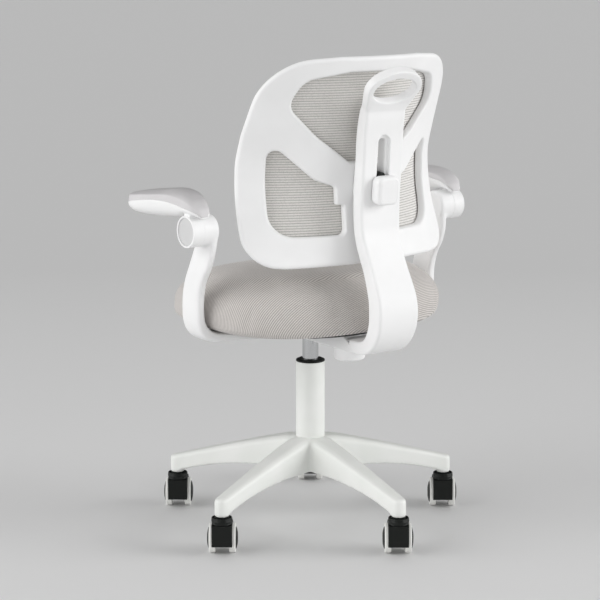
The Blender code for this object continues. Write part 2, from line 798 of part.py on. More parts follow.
def build_casters(root):
    hood = caster_hood()
    stem = cylinder(STEM_R, CASTER_TOP_Z - STEM_SEAT, CASTER_TOP_Z + STEM_GRIP, COARSE)
    reach = WHEEL_SPACING / 2 + WHEEL_BORE_DEPTH - GAP
    axle = cylinder(AXLE_R, -reach, reach, COARSE)
    tyre = wheel()
    flat_down = math.pi / ROUND
    for name, turn in zip(("rear", "right", "front_right", "front_left", "left"), leg_turns()):
        place = (STEM_CIRCLE_R * math.cos(turn), STEM_CIRCLE_R * math.sin(turn), 0)
        swivel = empty(f"caster_{name}", place, root, CASTER_TURN)
        part(f"caster_{name}_stem", stem, STEEL, swivel)
        part(f"caster_{name}_hood", hood, BLACK, swivel)
        hub = (0, -CASTER_TRAIL, WHEEL_R)
        part(f"caster_{name}_axle", axle, STEEL, swivel, hub, (0, math.pi / 2, 0))
        for side, sign in (("left", 1), ("right", -1)):
            face = (sign * WHEEL_SPACING / 2, -CASTER_TRAIL, WHEEL_R)
            spin = Matrix.Rotation(sign * math.pi / 2, 4, "Y") @ Matrix.Rotation(flat_down, 4, "Z")
            part(f"caster_{name}_wheel_{side}", tyre, WHEEL_PALE, swivel, face, spin.to_euler())


# Gas lift


def build_lift(root):
    floor_top = TUBE_BOTTOM_Z + TUBE_FLOOR
    rod_hole = ROD_R + GAP
    tube_profile = [
        (TUBE_BORE_R, TUBE_TOP_Z),
        (TUBE_R, TUBE_TOP_Z),
        (TUBE_R, TUBE_BOTTOM_Z),
        (rod_hole, TUBE_BOTTOM_Z),
        (rod_hole, floor_top),
        (TUBE_BORE_R, floor_top),
    ]
    part("lift_column_tube", turned(tube_profile, FINE, closed=True), WHITE, root)
    lip_bottom = TUBE_TOP_Z + GAP
    guide = CYLINDER_R + GAP
    bush_profile = [
        (guide, lip_bottom + BUSH_LIP),
        (TUBE_R - BUSH_LIP, lip_bottom + BUSH_LIP),
        (TUBE_R, lip_bottom + BUSH_LIP / 2),
        (TUBE_R, lip_bottom),
        (TUBE_BORE_R - GAP, lip_bottom),
        (TUBE_BORE_R - GAP, lip_bottom - BUSH_SLEEVE),
        (guide, lip_bottom - BUSH_SLEEVE),
    ]
    part("column_guide_bush", turned(bush_profile, FINE, closed=True), BLACK, root)
    pin_hole = PIN_R + GAP
    bore_top = CYLINDER_BOTTOM_Z + CYLINDER_BORE_DEPTH
    cylinder_profile = [
        (0, CYLINDER_TOP_Z - PIN_HOLE_DEPTH),
        (pin_hole, CYLINDER_TOP_Z - PIN_HOLE_DEPTH),
        (pin_hole, CYLINDER_TOP_Z),
        (CYLINDER_R, CYLINDER_TOP_Z),
        (CYLINDER_R, CYLINDER_BOTTOM_Z),
        (CYLINDER_BORE_R, CYLINDER_BOTTOM_Z),
        (CYLINDER_BORE_R, bore_top),
        (0, bore_top),
    ]
    part("lift_cylinder", turned(cylinder_profile, FINE), CHROME, root)
    bearing_top = floor_top + GAP + BEARING_HEIGHT
    bearing_profile = [
        (rod_hole, bearing_top),
        (BEARING_R, bearing_top),
        (BEARING_R, floor_top + GAP),
        (rod_hole, floor_top + GAP),
    ]
    part("thrust_bearing", turned(bearing_profile, ROUND, closed=True), STEEL, root)
    shoulder_bottom = bearing_top + GAP
    clip_top = TUBE_BOTTOM_Z - GAP
    rod_profile = [
        (0, PISTON_TOP_Z),
        (CYLINDER_BORE_R - GAP, PISTON_TOP_Z),
        (CYLINDER_BORE_R - GAP, PISTON_TOP_Z - PISTON_HEIGHT),
        (ROD_R, PISTON_TOP_Z - PISTON_HEIGHT),
        (ROD_R, shoulder_bottom + ROD_SHOULDER),
        (ROD_SHOULDER_R, shoulder_bottom + ROD_SHOULDER),
        (ROD_SHOULDER_R, shoulder_bottom),
        (ROD_R, shoulder_bottom),
        (ROD_R, clip_top - CLIP_HEIGHT),
        (0, clip_top - CLIP_HEIGHT),
    ]
    part("piston_rod", turned(rod_profile, ROUND), STEEL, root)
    clip_profile = [
        (rod_hole, clip_top),
        (CLIP_R, clip_top),
        (CLIP_R, clip_top - CLIP_HEIGHT),
        (rod_hole, clip_top - CLIP_HEIGHT),
    ]
    part("retaining_clip", turned(clip_profile, ROUND, closed=True), STEEL, root)
    part("release_pin", cylinder(PIN_R, PIN_TOP_Z - PIN_LENGTH, PIN_TOP_Z, COARSE), STEEL, root)


# Mechanism under the seat


def build_mechanism(root):
    outline = [
        (HOUSING_FRONT_Y, HOUSING_TOP_Z),
        (HOUSING_FRONT_Y, HOUSING_TOP_Z - HOUSING_WALL),
        (HOUSING_FRONT_Y + HOUSING_NOSE, HOUSING_BOTTOM_Z),
        (HOUSING_REAR_BOTTOM_Y, HOUSING_BOTTOM_Z),
        (HOUSING_REAR_TOP_Y, HOUSING_TOP_Z),
    ]
    half = HOUSING_WIDTH / 2
    channel = box(
        (-TONGUE_WIDTH / 2 - RUN, CHANNEL_FRONT_Y, HOUSING_BOTTOM_Z + HOUSING_WALL),
        (TONGUE_WIDTH / 2 + RUN, HOUSING_REAR_BOTTOM_Y + PAST, HOUSING_TOP_Z - HOUSING_WALL),
    )
    lever_room = box(
        (-half - PAST, -LEVER_R - LEVER_SLOT, CYLINDER_TOP_Z + RUN),
        (CYLINDER_R, LEVER_R + LEVER_SLOT, HOUSING_TOP_Z - HOUSING_WALL / 2),
    )
    socket = cylinder(CYLINDER_R + GAP, HOUSING_BOTTOM_Z - PAST, CYLINDER_TOP_Z + RUN * 2, FINE)
    screw_hole = cylinder(SCREW_R + GAP, HOUSING_BOTTOM_Z - PAST, HOUSING_TOP_Z - HOUSING_WALL * 2)
    screw_hole = shifted(screw_hole, 0, KNOB_Y, 0)
    housing = cut(side_plate(outline, HOUSING_WIDTH), channel, lever_room, socket, screw_hole)
    part("mechanism_housing", housing, WHITE, root)


def build_lever(root):
    """The bent rod's inner end lies on the release pin and its pivot is in the housing's side wall."""
    pivot = Vector((-HOUSING_WIDTH / 2 + HOUSING_WALL / 2, 0, LEVER_Z))
    corners = [
        Vector((LEVER_INNER_X, 0, LEVER_Z)),
        Vector((LEVER_ELBOW_X, 0, LEVER_Z)),
        Vector((LEVER_BEND_X, LEVER_BEND_Y, LEVER_Z - LEVER_DROP)),
        Vector((LEVER_END_X, LEVER_END_Y, LEVER_Z - LEVER_DROP)),
    ]
    bend = LEVER_R * 4
    points = [corners[0]]
    for before, here, after in zip(corners, corners[1:], corners[2:]):
        start = here + (before - here).normalized() * bend
        end = here + (after - here).normalized() * bend
        points += [start, start * 0.25 + here * 0.5 + end * 0.25, end]
    points.append(corners[-1])
    hinge = empty("lift_lever_pivot", pivot, root)
    part("lift_lever_rod", tube([point - pivot for point in points], LEVER_R), STEEL, hinge)
    end = corners[-1] - pivot
    heading = (corners[-1] - corners[-2]).normalized()
    bar = rounded(
        [
            (-PADDLE_GRIP, -PADDLE_WIDTH / 3, PADDLE_HEEL),
            (PADDLE_LENGTH - PADDLE_GRIP, -PADDLE_WIDTH / 2, PADDLE_CORNER),
            (PADDLE_LENGTH - PADDLE_GRIP, PADDLE_WIDTH / 2, PADDLE_CORNER),
            (-PADDLE_GRIP, PADDLE_WIDTH / 3, PADDLE_HEEL),
        ]
    )
    paddle = extruded(bar, PADDLE_HEIGHT, edge=PADDLE_EDGE)
    hole = along_x(cylinder(LEVER_R + GAP, -PADDLE_LENGTH, GAP, COARSE))
    turn = Matrix.Rotation(math.atan2(heading.y, heading.x), 4, "Z")
    part("lift_lever_paddle", moved(cut(paddle, hole), Matrix.Translation(end) @ turn), WHITE, hinge)


# Seat


def build_seat(root):
    part("seat_pan", pan_mesh(), BLACK, root)
    part("seat_cushion", cushion(), FABRIC, root)


def cushion():
    """A crowned pad whose sides pull in below, with a recess that takes the pan."""
    low = PAN_Z + CUSHION_LIFT
    thick = SEAT_TOP_Z - low
    levels = [
        (0.50, 0.0, 0.8),
        (0.82, 0.0, 1.0),
        (0.95, 0.015, 1.0),
        (1.018, 0.17, 1.0),
        (1.022, 0.46, 0.6),
        (0.975, 0.76, 0.0),
        (0.80, 0.925, 0.0),
        (0.42, 1.015, 0.0),
    ]
    rings = []
    for scale, height, rise in levels:
        row = []
        for x, y in superellipse(SEAT_HALF_WIDTH * scale, SEAT_HALF_DEPTH * scale, SEAT_POWER, SEAT_POINTS):
            back = y / SEAT_HALF_DEPTH
            lift = rise * SEAT_SIDE_RISE * (x / SEAT_HALF_WIDTH) ** 2 * (0.6 - back * 0.55)
            lift += height * (SEAT_SLOPE * back - SEAT_FRONT_DROP * max(0, -back) ** 2)
            row.append(Vector((x, y + SEAT_CENTRE_Y, low + thick * height + lift)))
        rings.append(row)
    obj = work_object(loft(rings))
    soft = obj.modifiers.new("soft", "SUBSURF")
    soft.levels = 1
    soft.render_levels = 1
    return cut(evaluated(obj), pan_mesh(RUN))


def pan_mesh(margin=0.0):
    outline = superellipse(PAN_HALF_WIDTH + margin, PAN_HALF_DEPTH + margin, SEAT_POWER, FINE)
    plate = extruded(outline, PAN_THICKNESS + margin * 2)
    return shifted(plate, 0, SEAT_CENTRE_Y, PAN_Z + PAN_THICKNESS / 2)


# Arms


def post_mesh():
    """Drawn about the hinge: a flat foot under the pan that turns up into a blade and the knuckle."""
    foot_z = PAN_Z - GAP * 2 - POST_FOOT_HALF
    stations = [(POST_FOOT_X, POST_Y, foot_z, POST_FOOT_HALF, POST_FOOT_HALF_DEPTH)]
    for inward, rise, half_thick, half_depth in POST_FOOT:
        stations.append((POST_X - inward, POST_Y, foot_z + rise, half_thick, half_depth))
    for back, z, half_thick, half_depth in POST_BLADE:
        stations.append((POST_X, POST_Y + back, z, half_thick, half_depth))
    top_z = HINGE_Z - POST_TOP_DROP
    stations.append((POST_X, HINGE_Y, top_z, POST_TOP_HALF, POST_TOP_HALF_DEPTH))
    rings = []
    for i, (x, y, z, half_thick, half_depth) in enumerate(stations):
        before, after = stations[max(0, i - 1)], stations[min(len(stations) - 1, i + 1)]
        heading = Vector((after[0] - before[0], 0, after[2] - before[2])).normalized()
        outward = Vector((heading.z, 0, -heading.x))
        centre = Vector((x - HINGE_X, y - HINGE_Y, z - HINGE_Z))
        section = superellipse(half_thick, half_depth, 3.5, COARSE)
        rings.append(ring(centre, outward, Vector((0, 1, 0)), section))
    knuckle = along_x(cylinder(KNUCKLE_R, KNUCKLE_INNER_X - HINGE_X, KNUCKLE_OUTER_X - HINGE_X, FINE))
    bore_end = KNUCKLE_OUTER_X - HINGE_X - HINGE_PIN_BITE - GAP
    bore = along_x(cylinder(HINGE_PIN_R + GAP, bore_end, 0, COARSE))
    return cut(united(loft(rings), knuckle), bore)


def arm_plan(y):
    """The armrest's inner edge, outer edge and rise of its inner rim at y from the hinge."""
    for front, rear in zip(ARM_PLAN, ARM_PLAN[1:]):
        if -y >= rear[0]:
            break
    share = max(0, min(1, (front[0] + y) / (front[0] - rear[0])))
    inner, outer, rise = (a + (b - a) * share for a, b in zip(front[1:], rear[1:]))
    into_nose = min(1, max(0, (ARM_NOSE - (y + ARM_FRONT)) / ARM_NOSE))
    narrow = (1 - into_nose**2.2) ** (1 / 2.2)
    middle, half = (inner + outer) / 2, max((outer - inner) / 2 * narrow, PAD_LEAST_HALF)
    return middle - half, middle + half, rise


def shell_mesh():
    """Boat-shaped shell with the hinge barrel under its rear end, drawn about the hinge."""
    stations = [(step - ARM_FRONT, bottom, top) for step, bottom, top in SHELL_NOSE]
    stations += [(-ahead, bottom, top) for ahead, bottom, top in SHELL_LINE]
    stations.append((ARM_REAR - SHELL_TAIL[0], *SHELL_TAIL[1:]))
    rings = []
    for y, bottom, top in stations:
        inner, outer, rise = arm_plan(y)
        row = []
        for i in range(9):
            across = i / 8
            sag = (1 - abs(across * 2 - 1) ** 2.6) ** (1 / 2.6)
            rim = top + rise * (1 - across)
            x = inner + GAP * 2 + (outer - inner - GAP * 4) * across
            row.append(Vector((x, y, rim - (rim - bottom) * sag)))
        rings.append(row)
    recess = CAP_DISC_THICKNESS + GAP * 2
    bore = HINGE_PIN_R + GAP
    barrel = turned(
        [
            (CAP_DISC_R + GAP, 0),
            (BARREL_R, 0),
            (BARREL_R, -BARREL_LENGTH),
            (bore, -BARREL_LENGTH),
            (bore, -recess),
            (CAP_DISC_R + GAP, -recess),
        ],
        FINE,
        closed=True,
    )
    neck = box((-BARREL_LENGTH, NECK_REAR - NECK_LENGTH, NECK_LOW), (-recess - GAP * 2, NECK_REAR, NECK_HIGH))
    return united(along_x(barrel), neck, loft(rings))


def pad_mesh():
    """Soft pad on the shell, deepest over the hinge, where it rolls down at the rear."""
    stations = [(step - ARM_FRONT, bottom, top) for step, bottom, top in PAD_NOSE]
    stations += [(-ahead, bottom, top) for ahead, bottom, top in PAD_LINE]
    stations.append((ARM_REAR, *PAD_TAIL))
    rings = []
    for y, bottom, top in stations:
        inner, outer, rise = arm_plan(y)
        row = []
        for i in range(9):
            across = i / 8
            swell = (1 - abs(across * 2 - 1) ** 3) ** (1 / 3)
            low = bottom + rise * (1 - across)
            edge = low + (top - low) * PAD_SIDE_SHARE
            row.append(Vector((inner + (outer - inner) * across, y, edge + (top - edge) * swell)))
        for across in (0.98, 0.02):
            low = bottom + rise * (1 - across)
            row.append(Vector((inner + (outer - inner) * across, y, low)))
        rings.append(row)
    return loft(rings)


def build_arms(root):
    post, shell, pad = post_mesh(), shell_mesh(), pad_mesh()
    disc_face = -GAP - CAP_DISC_THICKNESS
    disc = along_x(cylinder(CAP_DISC_R, disc_face, -GAP, FINE))
    pin_outer = disc_face - GAP * 2
    pin = along_x(cylinder(HINGE_PIN_R, KNUCKLE_OUTER_X - HINGE_X - HINGE_PIN_BITE, pin_outer, COARSE))
    pieces = (
        ("arm_post", post, WHITE),
        ("arm_hinge_pin", pin, STEEL),
        ("armrest_shell", shell, WHITE),
        ("armrest_pad", pad, PAD_GREY),
        ("arm_hinge_cap", disc, PALE_GREY),
    )
    for side, sign in (("left", 1), ("right", -1)):
        hinge = empty(f"arm_hinge_{side}", (sign * HINGE_X, HINGE_Y, HINGE_Z), root)
        for name, mesh, spec in pieces:
            shape = mesh.copy() if sign > 0 else mirrored(mesh)
            part(f"{name}_{side}", shape, spec, hinge)


# Back bar


def slot_point(z):
    """The bar's middle at height z along its straight slotted stretch."""
    return BAR_SLOT_Y + (z - SLOT_Z) * math.tan(SLOT_LEAN)


def bar_mesh():
    """A bar that curls from under the seat up the back to a loop handle."""
    stations = list(BAR_CURL)
    for z in (BAR_STRAIGHT_Z, BAR_STRAIGHT_TOP_Z):
        stations.append((slot_point(z), z, BAR_THICKNESS, BAR_HALF_WIDTH))
    stations.append((BAR_NECK_Y, BAR_NECK_Z, BAR_NECK_THICKNESS, BAR_HALF_WIDTH))
    stations.append((HANDLE_BASE_Y, HANDLE_BASE_Z + HANDLE_BOTTOM, BAR_TOP_THICKNESS, BAR_TOP_HALF_WIDTH))
    across = Vector((1, 0, 0))
    seam_top = Vector((0, HOUSING_REAR_TOP_Y, HOUSING_TOP_Z))
    seam_bottom = Vector((0, HOUSING_REAR_BOTTOM_Y, HOUSING_BOTTOM_Z))
    slant = (seam_top - seam_bottom).normalized()
    foot_y, foot_z, foot_thick, foot_half = stations[0]
    first = Vector((0, (seam_top.y + seam_bottom.y) / 2 + SEAM * 1.5, foot_z))
    rings = [ring(first, across, -slant, bar_section(foot_thick / 2 / slant.z, foot_half))]
    for i, (y, z, thick, half) in enumerate(stations):
        before, after = stations[max(0, i - 1)], stations[min(len(stations) - 1, i + 1)]
        heading = Vector((0, after[0] - before[0], after[1] - before[1])).normalized()
        rearward = Vector((0, heading.z, -heading.y))
        rings.append(ring(Vector((0, y, z)), across, rearward, bar_section(thick / 2, half)))
    mesh = united(loft(rings), handle_mesh(), tongue_mesh())
    slot = rounded_slot(SLOT_WIDTH, (SLOT_TOP_Z - SLOT_Z) / SLOT_AXIS.z, HANDLE_HALF_WIDTH)
    return cut(mesh, moved(slot, slot_place(SLOT_Z)))


def bar_section(half_thick, half):
    """A rectangle across the bar with rounded corners."""
    soft = min(BAR_CORNER, half_thick * 0.6)
    corners = ((half, -half_thick), (half, half_thick), (-half, half_thick), (-half, -half_thick))
    return rounded([(x, y, soft) for x, y in corners], 2)


def slot_place(z):
    """Carries a shape from XY to height z on the slot, its Y up the slot and its Z out of the rear."""
    centre = Vector((0, slot_point(z), z))
    columns = (Vector((-1, 0, 0)), SLOT_AXIS, SLOT_NORMAL)
    turn = Matrix([[column[i] for column in columns] for i in range(3)]).to_4x4()
    return Matrix.Translation(centre) @ turn


def rounded_slot(width, length, thickness):
    """A bar with half-round ends, its foot at the origin and its length along Y."""
    radius = width / 2
    outline = arc((0, length - radius), radius, 0, 180, 6) + arc((0, radius), radius, 180, 360, 6)
    return extruded(outline, thickness)


def handle_mesh():
    """A loop that flares from the bar's top and leans back."""
    middle = (HANDLE_TOP + HANDLE_BOTTOM) / 2
    outer = [(HANDLE_NECK, HANDLE_FOOT)]
    for i in range(ROUND + 1):
        angle = math.radians(-10 + 200 * i / ROUND)
        outer.append((HANDLE_HALF_WIDTH * math.cos(angle), middle + (HANDLE_TOP - middle) * math.sin(angle)))
    outer.append((-HANDLE_NECK, HANDLE_FOOT))
    grip = ellipse((0, (GRIP_TOP + GRIP_BOTTOM) / 2), GRIP_HALF_WIDTH, (GRIP_TOP - GRIP_BOTTOM) / 2, ROUND)
    flat = extruded(outer, HANDLE_THICKNESS, holes=(grip,), edge=HANDLE_EDGE)
    lean = Matrix.Rotation(math.pi / 2 - HANDLE_LEAN, 4, "X")
    return moved(flat, Matrix.Translation((0, HANDLE_BASE_Y, HANDLE_BASE_Z)) @ lean)


def tongue_mesh():
    """The flat tongue that slides in the housing, with a long slot for the clamp screw."""
    half = TONGUE_WIDTH / 2
    middle = (HOUSING_BOTTOM_Z + HOUSING_TOP_Z) / 2
    low, high = middle - TONGUE_THICKNESS / 2, middle + TONGUE_THICKNESS / 2
    plate = box((-half, TONGUE_FRONT_Y, low), (half, HOUSING_REAR_BOTTOM_Y + PAST, high))
    length = DEPTH_TRAVEL + SCREW_R * 2 + RUN * 2
    slot = rounded_slot(SCREW_R * 2 + RUN * 2, length, TONGUE_THICKNESS * 2)
    return cut(plate, shifted(slot, 0, KNOB_Y - DEPTH_TRAVEL - SCREW_R - RUN, middle))


def build_back_bar(root):
    carrier = empty("back_depth_slide", (0, 0, 0), root)
    part("back_bar", bar_mesh(), WHITE, carrier)
    knob_top = HOUSING_BOTTOM_Z - GAP
    knob_profile = [
        (0, knob_top),
        (KNOB_R * 0.9, knob_top),
        (KNOB_R, knob_top - KNOB_ROUND),
        (KNOB_R * 0.96, knob_top - KNOB_HEIGHT + KNOB_ROUND),
        (KNOB_R * 0.86, knob_top - KNOB_HEIGHT),
        (0, knob_top - KNOB_HEIGHT),
    ]
    screw_low = knob_top - KNOB_HEIGHT / 2
    screw_high = HOUSING_TOP_Z - HOUSING_WALL - RUN
    hole = cylinder(SCREW_R + GAP, screw_low - GAP, knob_top + PAST, COARSE)
    pivot = empty("depth_knob_axis", (0, KNOB_Y, 0), root)
    part("depth_knob", cut(turned(knob_profile, FINE), hole), WHITE, pivot)
    part("depth_knob_screw", cylinder(SCREW_R, screw_low, screw_high, COARSE), STEEL, pivot)


# Back


def bow(z, waist, y, above, below):
    """A profile that curves back from y at the waist, each side by its rise, span and power."""
    rise, span, power = above if z > waist else below
    away = math.hypot(z - waist, WAIST_SOFT)
    return y + rise * (away**power - WAIST_SOFT**power) / span**power


def back_y(x, z):
    """The frame's rear surface: wrapped round the sitter, curving back above and below the waist."""
    centre = bow(z, BACK_WAIST_Z, CENTRE_WAIST_Y, CENTRE_ABOVE, CENTRE_BELOW)
    edge = bow(z, EDGE_WAIST_Z, EDGE_WAIST_Y, EDGE_ABOVE, EDGE_BELOW)
    return centre + (edge - centre) * (x / BACK_HALF_WIDTH) ** 2


def on_back(x, z, depth):
    """The point depth in front of the frame's rear surface, level with it."""
    step = 0.001
    slope = (back_y(x + step, z) - back_y(x - step, z)) / (2 * step)
    normal = Vector((-slope, 1, 0)).normalized()
    return Vector((x, back_y(x, z), z)) - normal * depth


def both_sides(half):
    """Right-hand corners (x, z, radius) from bottom to top, closed with their mirror image."""
    return half + [(-x, z, radius) for x, z, radius in reversed(half) if x > 0]


def frame_outline(inset=0.0):
    half = [
        (FRAME_FLAT_X - inset, FRAME_BOTTOM_Z + inset, 0),
        (FRAME_LOWER_X - inset, FRAME_LOWER_Z + inset, FRAME_LOWER_R - inset),
        (FRAME_WAIST_X - inset, FRAME_WAIST_Z, 0),
        (FRAME_SHOULDER_X - inset, FRAME_SHOULDER_Z, 0),
        (FRAME_UPPER_X - inset, FRAME_UPPER_Z - inset, FRAME_UPPER_R - inset),
        (FRAME_CROWN_X, FRAME_TOP_Z - inset, 0),
    ]
    return rounded(both_sides(half), 6)


def frame_openings():
    """The upper opening, then the two lower ones."""
    side = FRAME_LOWER_X - SIDE_RAIL
    bottom = FRAME_LOWER_Z + BOTTOM_RAIL
    upper = [
        (UPPER_FOOT_X, RIB_Z + RIB_HEIGHT, UPPER_FOOT_R),
        (RIB_BEND_X, RIB_Z + RIB_BEND_RISE, RIB_BEND_R),
        (FRAME_SHOULDER_X - UPPER_SIDE_RAIL, FRAME_UPPER_Z - UPPER_DEPTH, UPPER_SIDE_R),
        (FRAME_UPPER_X - UPPER_CORNER_RAIL, FRAME_UPPER_Z - TOP_CORNER_RAIL, UPPER_TOP_R),
        (FRAME_CROWN_X - CROWN_STEP, FRAME_TOP_Z - TOP_RAIL, 0),
    ]
    lower = [
        (SPINE_HALF, bottom, SPINE_R),
        (side, bottom, LOWER_SIDE_R),
        (side, RIB_Z + RIB_RISE, RIB_R),
        (RIB_SAG_X, RIB_Z + RIB_SAG_RISE, RIB_SAG_R),
        (BRACKET_HALF, BRACKET_TOP_Z, BRACKET_R),
        (BRACKET_HALF, BRACKET_Z, BRACKET_FOOT_R),
        (SPINE_HALF, BRACKET_Z, BRACKET_FOOT_R),
    ]
    mirror = [(-x, z, radius) for x, z, radius in reversed(lower)]
    return rounded(both_sides(upper)), rounded(lower), rounded(mirror)


def bent_plate(loops, depth, thickness, rim):
    """A flat outline with openings, cut into cells and bent onto the back, its rear rim drawn in."""
    bm = bmesh.new()
    for loop in loops:
        verts = [bm.verts.new((x, 0, z)) for x, z in loop]
        for first, second in zip(verts, verts[1:] + verts[:1]):
            bm.edges.new((first, second))
    bmesh.ops.triangle_fill(bm, use_beauty=True, use_dissolve=False, edges=bm.edges[:], normal=(0, 1, 0))
    reach = math.ceil(BACK_HALF_WIDTH / BACK_CELL)
    lines = [((i * BACK_CELL, 0, 0), (1, 0, 0)) for i in range(-reach, reach + 1)]
    lines += [((0, 0, BACK_WAIST_Z + i * BACK_CELL), (0, 0, 1)) for i in range(-reach, reach + 1)]
    for place, normal in lines:
        everything = bm.verts[:] + bm.edges[:] + bm.faces[:]
        bmesh.ops.bisect_plane(bm, geom=everything, plane_co=place, plane_no=normal, dist=WELD)
    bmesh.ops.dissolve_degenerate(bm, edges=bm.edges[:], dist=WELD * 10)
    made = bmesh.ops.extrude_face_region(bm, geom=bm.faces[:], use_keep_orig=True)
    front = {item for item in made["geom"] if isinstance(item, bmesh.types.BMVert)}
    for vert in bm.verts:
        flat = vert.co.xz
        if vert in front:
            vert.co = on_back(*flat, depth + thickness)
        else:
            vert.co = on_back(*drawn_in(flat, loops[0], rim), depth)
    return mesh_of(bm)


def drawn_in(point, outline, rim):
    """A flat point moved in from the outline, by the whole rim where it lies on it and less with distance."""
    nearest = None
    for first, second in zip(outline, outline[1:] + outline[:1]):
        start, side = Vector(first), Vector(second) - Vector(first)
        along = max(0, min(1, (point - start).dot(side) / side.length_squared))
        gap = (point - start - side * along).length
        if nearest is None or gap < nearest[0]:
            nearest = gap, side.normalized()
    gap, side = nearest
    return point + Vector((-side.y, side.x)) * max(0, rim - gap / 3)


def carriage_mesh():
    """A block whose front follows the frame and whose rear lies on the bar, bored for the clamp screw."""
    rings = []
    for i in range(9):
        x = CARRIAGE_HALF_WIDTH * (i / 4 - 1)
        row = []
        for z in (CARRIAGE_BOTTOM_Z, BACK_WAIST_Z, CARRIAGE_TOP_Z):
            row.append(Vector((x, back_y(x, z) + RUN, z)))
        for z in (CARRIAGE_TOP_Z, CARRIAGE_BOTTOM_Z):
            row.append(Vector((x, slot_point(z) - (BAR_THICKNESS / 2 + RUN) / SLOT_AXIS.z, z)))
        rings.append(row)
    hole = cylinder(SCREW_R + GAP, -0.05, 0.05, COARSE)
    return cut(loft(rings), moved(hole, slot_place(HEIGHT_KNOB_Z)))


def build_back(root):
    slide = empty("back_height_slide", (0, 0, 0), root)
    frame = bent_plate((frame_outline(), *frame_openings()), 0, FRAME_THICKNESS, FRAME_RIM)
    part("back_frame", frame, WHITE, slide)
    sheet = bent_plate((frame_outline(MESH_INSET),), FRAME_THICKNESS + SHEET_GAP, MESH_THICKNESS, 0)
    part("back_mesh", sheet, MESH, slide)
    part("back_carriage", carriage_mesh(), WHITE, slide)
    place = slot_place(HEIGHT_KNOB_Z)
    half_bar = BAR_THICKNESS / 2
    block_foot = (SLOT_Z - HEIGHT_KNOB_Z) / SLOT_AXIS.z + GAP
    block_depth = half_bar * 2 - BLOCK_RECESS
    block = rounded_slot(SLOT_WIDTH - GAP * 2, BLOCK_HEIGHT, block_depth)
    block = shifted(block, 0, block_foot, -BLOCK_RECESS / 2)
    screw_bore = cylinder(SCREW_R + GAP, -half_bar - PAST, half_bar + PAST, COARSE)
    part("slide_block", moved(cut(block, screw_bore), place), BLACK, slide)
    axis = empty("height_knob_axis", place.translation, slide)
    face = half_bar + RUN
    turn = place.to_3x3().to_4x4()
    outline = rounded(
        [
            (x * HEIGHT_KNOB_WIDTH / 2, y * HEIGHT_KNOB_HEIGHT / 2, HEIGHT_KNOB_CORNER)
            for x, y in ((1, -1), (1, 1), (-1, 1), (-1, -1))
        ]
    )
    screw_top = face + HEIGHT_KNOB_DEPTH / 2
    knob = shifted(extruded(outline, HEIGHT_KNOB_DEPTH, edge=HEIGHT_KNOB_EDGE), 0, 0, screw_top)
    knob = cut(knob, cylinder(SCREW_R + GAP, 0, screw_top + GAP, COARSE))
    part("height_knob", moved(knob, turn), WHITE, axis)
    nut_end = -half_bar - RUN * 2 - SCREW_BITE
    part("height_knob_screw", moved(cylinder(SCREW_R, nut_end, screw_top, COARSE), turn), STEEL, axis)


CHAIR = empty("chair", (0, COLUMN_Y, 0))
part("star_base", star_base(), WHITE, CHAIR)
build_casters(CHAIR)
build_lift(CHAIR)
build_mechanism(CHAIR)
build_lever(CHAIR)
build_seat(CHAIR)
build_arms(CHAIR)
build_back_bar(CHAIR)
build_back(CHAIR)
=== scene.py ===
# %% [markdown]
# A child's swivel desk chair, seen from behind: white moulded plastic, a fabric seat, a mesh back and
# black casters. The engineering model is loaded first and stays as a fixed frame. Each piece below is a
# finer skin for one of its solids, made in the same place and riding on the same moving body, so the
# chair still swivels, lifts and folds.

import json
import math

import bmesh
import bpy
import numpy as np
from mathutils import Matrix, Vector

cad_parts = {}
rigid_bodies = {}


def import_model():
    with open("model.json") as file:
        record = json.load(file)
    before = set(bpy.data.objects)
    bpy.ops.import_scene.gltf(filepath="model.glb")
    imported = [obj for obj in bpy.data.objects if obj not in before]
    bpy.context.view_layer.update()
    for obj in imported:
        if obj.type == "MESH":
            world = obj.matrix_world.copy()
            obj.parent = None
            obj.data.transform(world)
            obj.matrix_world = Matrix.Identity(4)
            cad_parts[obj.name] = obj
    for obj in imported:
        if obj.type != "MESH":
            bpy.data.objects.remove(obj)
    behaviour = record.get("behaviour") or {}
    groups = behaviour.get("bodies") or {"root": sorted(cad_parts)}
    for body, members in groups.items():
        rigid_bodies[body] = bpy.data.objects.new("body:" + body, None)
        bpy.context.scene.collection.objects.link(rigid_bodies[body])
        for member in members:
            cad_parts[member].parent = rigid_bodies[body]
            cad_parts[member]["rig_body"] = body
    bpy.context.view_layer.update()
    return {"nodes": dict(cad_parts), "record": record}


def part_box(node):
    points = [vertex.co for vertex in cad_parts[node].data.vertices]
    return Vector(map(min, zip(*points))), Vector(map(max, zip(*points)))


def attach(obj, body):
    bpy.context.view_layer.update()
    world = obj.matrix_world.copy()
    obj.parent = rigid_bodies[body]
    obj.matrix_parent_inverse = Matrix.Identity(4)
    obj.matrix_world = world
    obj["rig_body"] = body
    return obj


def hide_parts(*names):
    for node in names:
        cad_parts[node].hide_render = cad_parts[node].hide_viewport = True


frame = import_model()
nodes = frame["nodes"]
slots = {row["node"]: row["material_slot"] for row in frame["record"]["subparts"]}
COLUMN_Y = -0.009
shift, spun = Matrix.Translation, Matrix.Rotation

# %% [markdown]
# The camera stands behind the chair on the sitter's left, a little above the seat, with a long lens. The
# angles come from the photograph: the five caster sockets and the column fix where it stood. Its
# direction is built from plain vectors and turned into a rotation, which is easier to read than three
# Euler angles.

